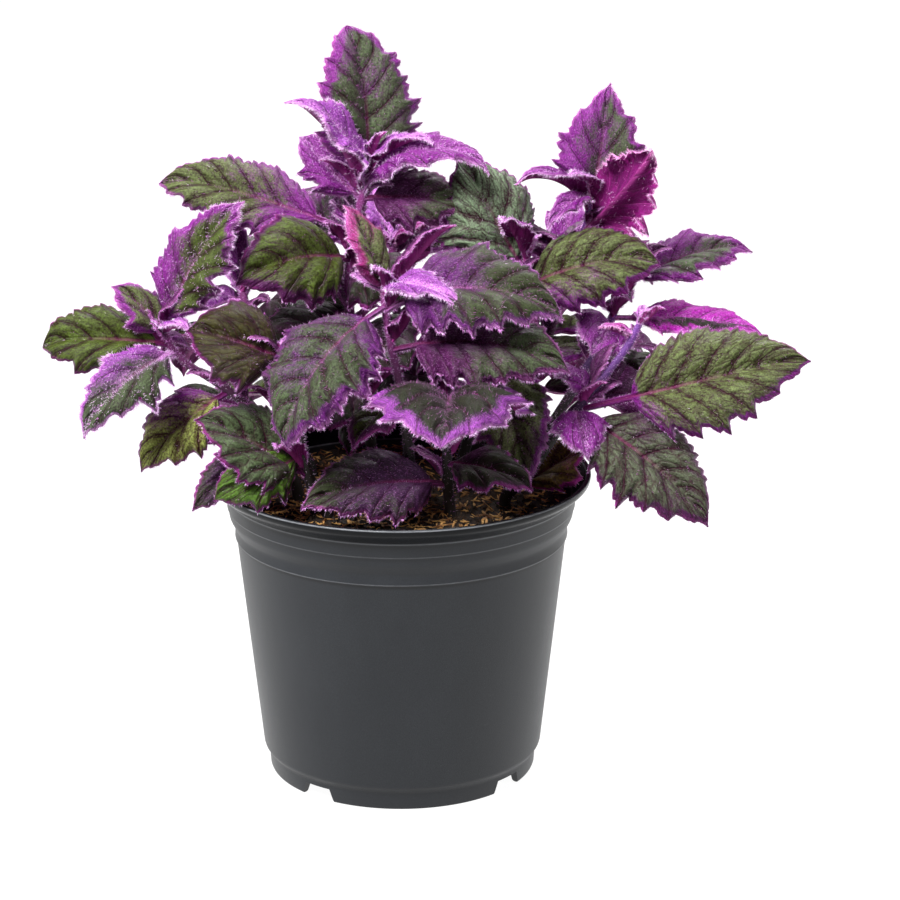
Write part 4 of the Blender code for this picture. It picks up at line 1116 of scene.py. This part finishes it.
def face_hairs(blade, draw, share, below):
    """Roots and ways of the hairs over one side of the blade."""
    sides = np.linalg.norm(np.diff(blade.points, axis=0)[:, :-1], axis=-1)
    widths = np.linalg.norm(np.diff(blade.points, axis=1)[:-1], axis=-1)
    areas = sides * widths
    phase, rib = blade.place[:-1, :-1, 0], blade.cell[:-1, :-1, 1]
    on_vein = np.exp(-(rib / 1.2) ** 2) + 0.6 * np.exp(-(np.sin(math.pi * phase) / 0.3) ** 2)
    wanted = areas * (0.55 + 1.6 * on_vein)
    count = int(areas.sum() * HAIRS_PER_SQUARE * share * blade.look.fuzz)
    cell = draw.choice(wanted.size, count, p=(wanted / wanted.sum()).ravel())
    row, column = np.divmod(cell, wanted.shape[1])
    down, over = draw.random((count, 1)), draw.random((count, 1))

    def between(values):
        first = values[row, column] * (1 - down) + values[row + 1, column] * down
        second = values[row, column + 1] * (1 - down) + values[row + 1, column + 1] * down
        return first * (1 - over) + second * over

    normal = unit(between(blade.normals))
    forward = unit(between(np.gradient(blade.points, axis=0)))
    root = between(blade.points)
    if below:
        root = root - normal * (between(blade.thickness[..., None]) - HAIR_SUNK)
        normal = -normal
    else:
        root = root - normal * HAIR_SUNK
    way = normal + forward * draw.normal(0.35, 0.4, (count, 1)) + draw.normal(0.0, 0.35, (count, 3))
    return root, unit(way)


def stem_hairs(path, shoot, draw):
    """Roots and ways of the hairs round the stem, above the soil."""
    lengths = running_length(path)
    radii = stem_radii(path, shoot)
    low = ROOT_DEPTH + 2.0
    count = int((lengths[-1] - low) * 2.0 * math.pi * radii.mean() * STEM_HAIRS_PER_SQUARE)
    where = low + (lengths[-1] - low) * draw.random(count) ** 0.6
    centre = sampled(path, lengths, where)
    ahead = unit(sampled(path, lengths, where + 0.5) - centre + np.array((0, 0, 1e-4)))
    around = unit(np.cross(ahead, draw.normal(size=(count, 3))))
    radius = np.interp(where, lengths, radii)[:, None]
    return centre + around * (radius - 0.1), unit(around + ahead * draw.normal(0.1, 0.3, (count, 1)))


def spikes(roots, ways, lengths):
    """Closed three-sided spikes: four vertices and four faces each."""
    helper = np.where(np.abs(ways[:, 2:]) < 0.9, np.array((0.0, 0.0, 1.0)), np.array((1.0, 0.0, 0.0)))
    first = unit(np.cross(helper, ways))
    second = np.cross(ways, first)
    corners = [roots + HAIR_RADIUS * (first * math.cos(turn) + second * math.sin(turn))
               for turn in (0.0, 2.0 * math.pi / 3.0, 4.0 * math.pi / 3.0)]
    points = np.stack(corners + [roots + ways * lengths[:, None]], 1)
    return points, copies(((0, 2, 1), (0, 1, 3), (1, 2, 3), (2, 0, 3)), points)


for number, shoot in enumerate(SHOOTS):
    draw = np.random.default_rng(500 + number)
    roots, ways, lengths, kinds = [], [], [], []
    share = BACK_SHARE if shoot.name.startswith("back") else 1.0
    for blade in blades[shoot.name]:
        on_face = blade.look.hair if blade.look.fuzz > BRIGHT_FACE_FUZZ else DUSKY_HAIR
        groups = ((blade.look.hair, margin_hairs(blade, draw, share)),
                  (on_face, face_hairs(blade, draw, share, False)),
                  (on_face, face_hairs(blade, draw, UNDERSIDE_SHARE * share, True)))
        for kind, (root, way) in groups:
            roots.append(root)
            ways.append(way)
            longest = (1.0 + 0.5 * blade.look.fuzz) * min(1.0, 0.5 + blade.width / 24.0)
            lengths.append(longest * draw.uniform(0.55, 1.15, len(root)))
            other = draw.random(len(root)) < (0.06 if kind == DUSKY_HAIR else 0.3)
            kinds.append(np.where(other, (blade.look.hair + 1) % 2, kind))
    root, way = stem_hairs(paths[shoot.name], shoot, draw)
    roots.append(root)
    ways.append(way)
    lengths.append(draw.uniform(0.7, 1.5, len(root)))
    kinds.append(draw.integers(0, 2, len(root)))
    points, faces = spikes(np.concatenate(roots), np.concatenate(ways), np.concatenate(lengths))
    kinds = np.repeat(np.concatenate(kinds), len(faces) // len(points))
    hairs = mesh_piece(shoot.name + "_hairs", points, faces, hair_finishes, kinds)
    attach(hairs, "root")
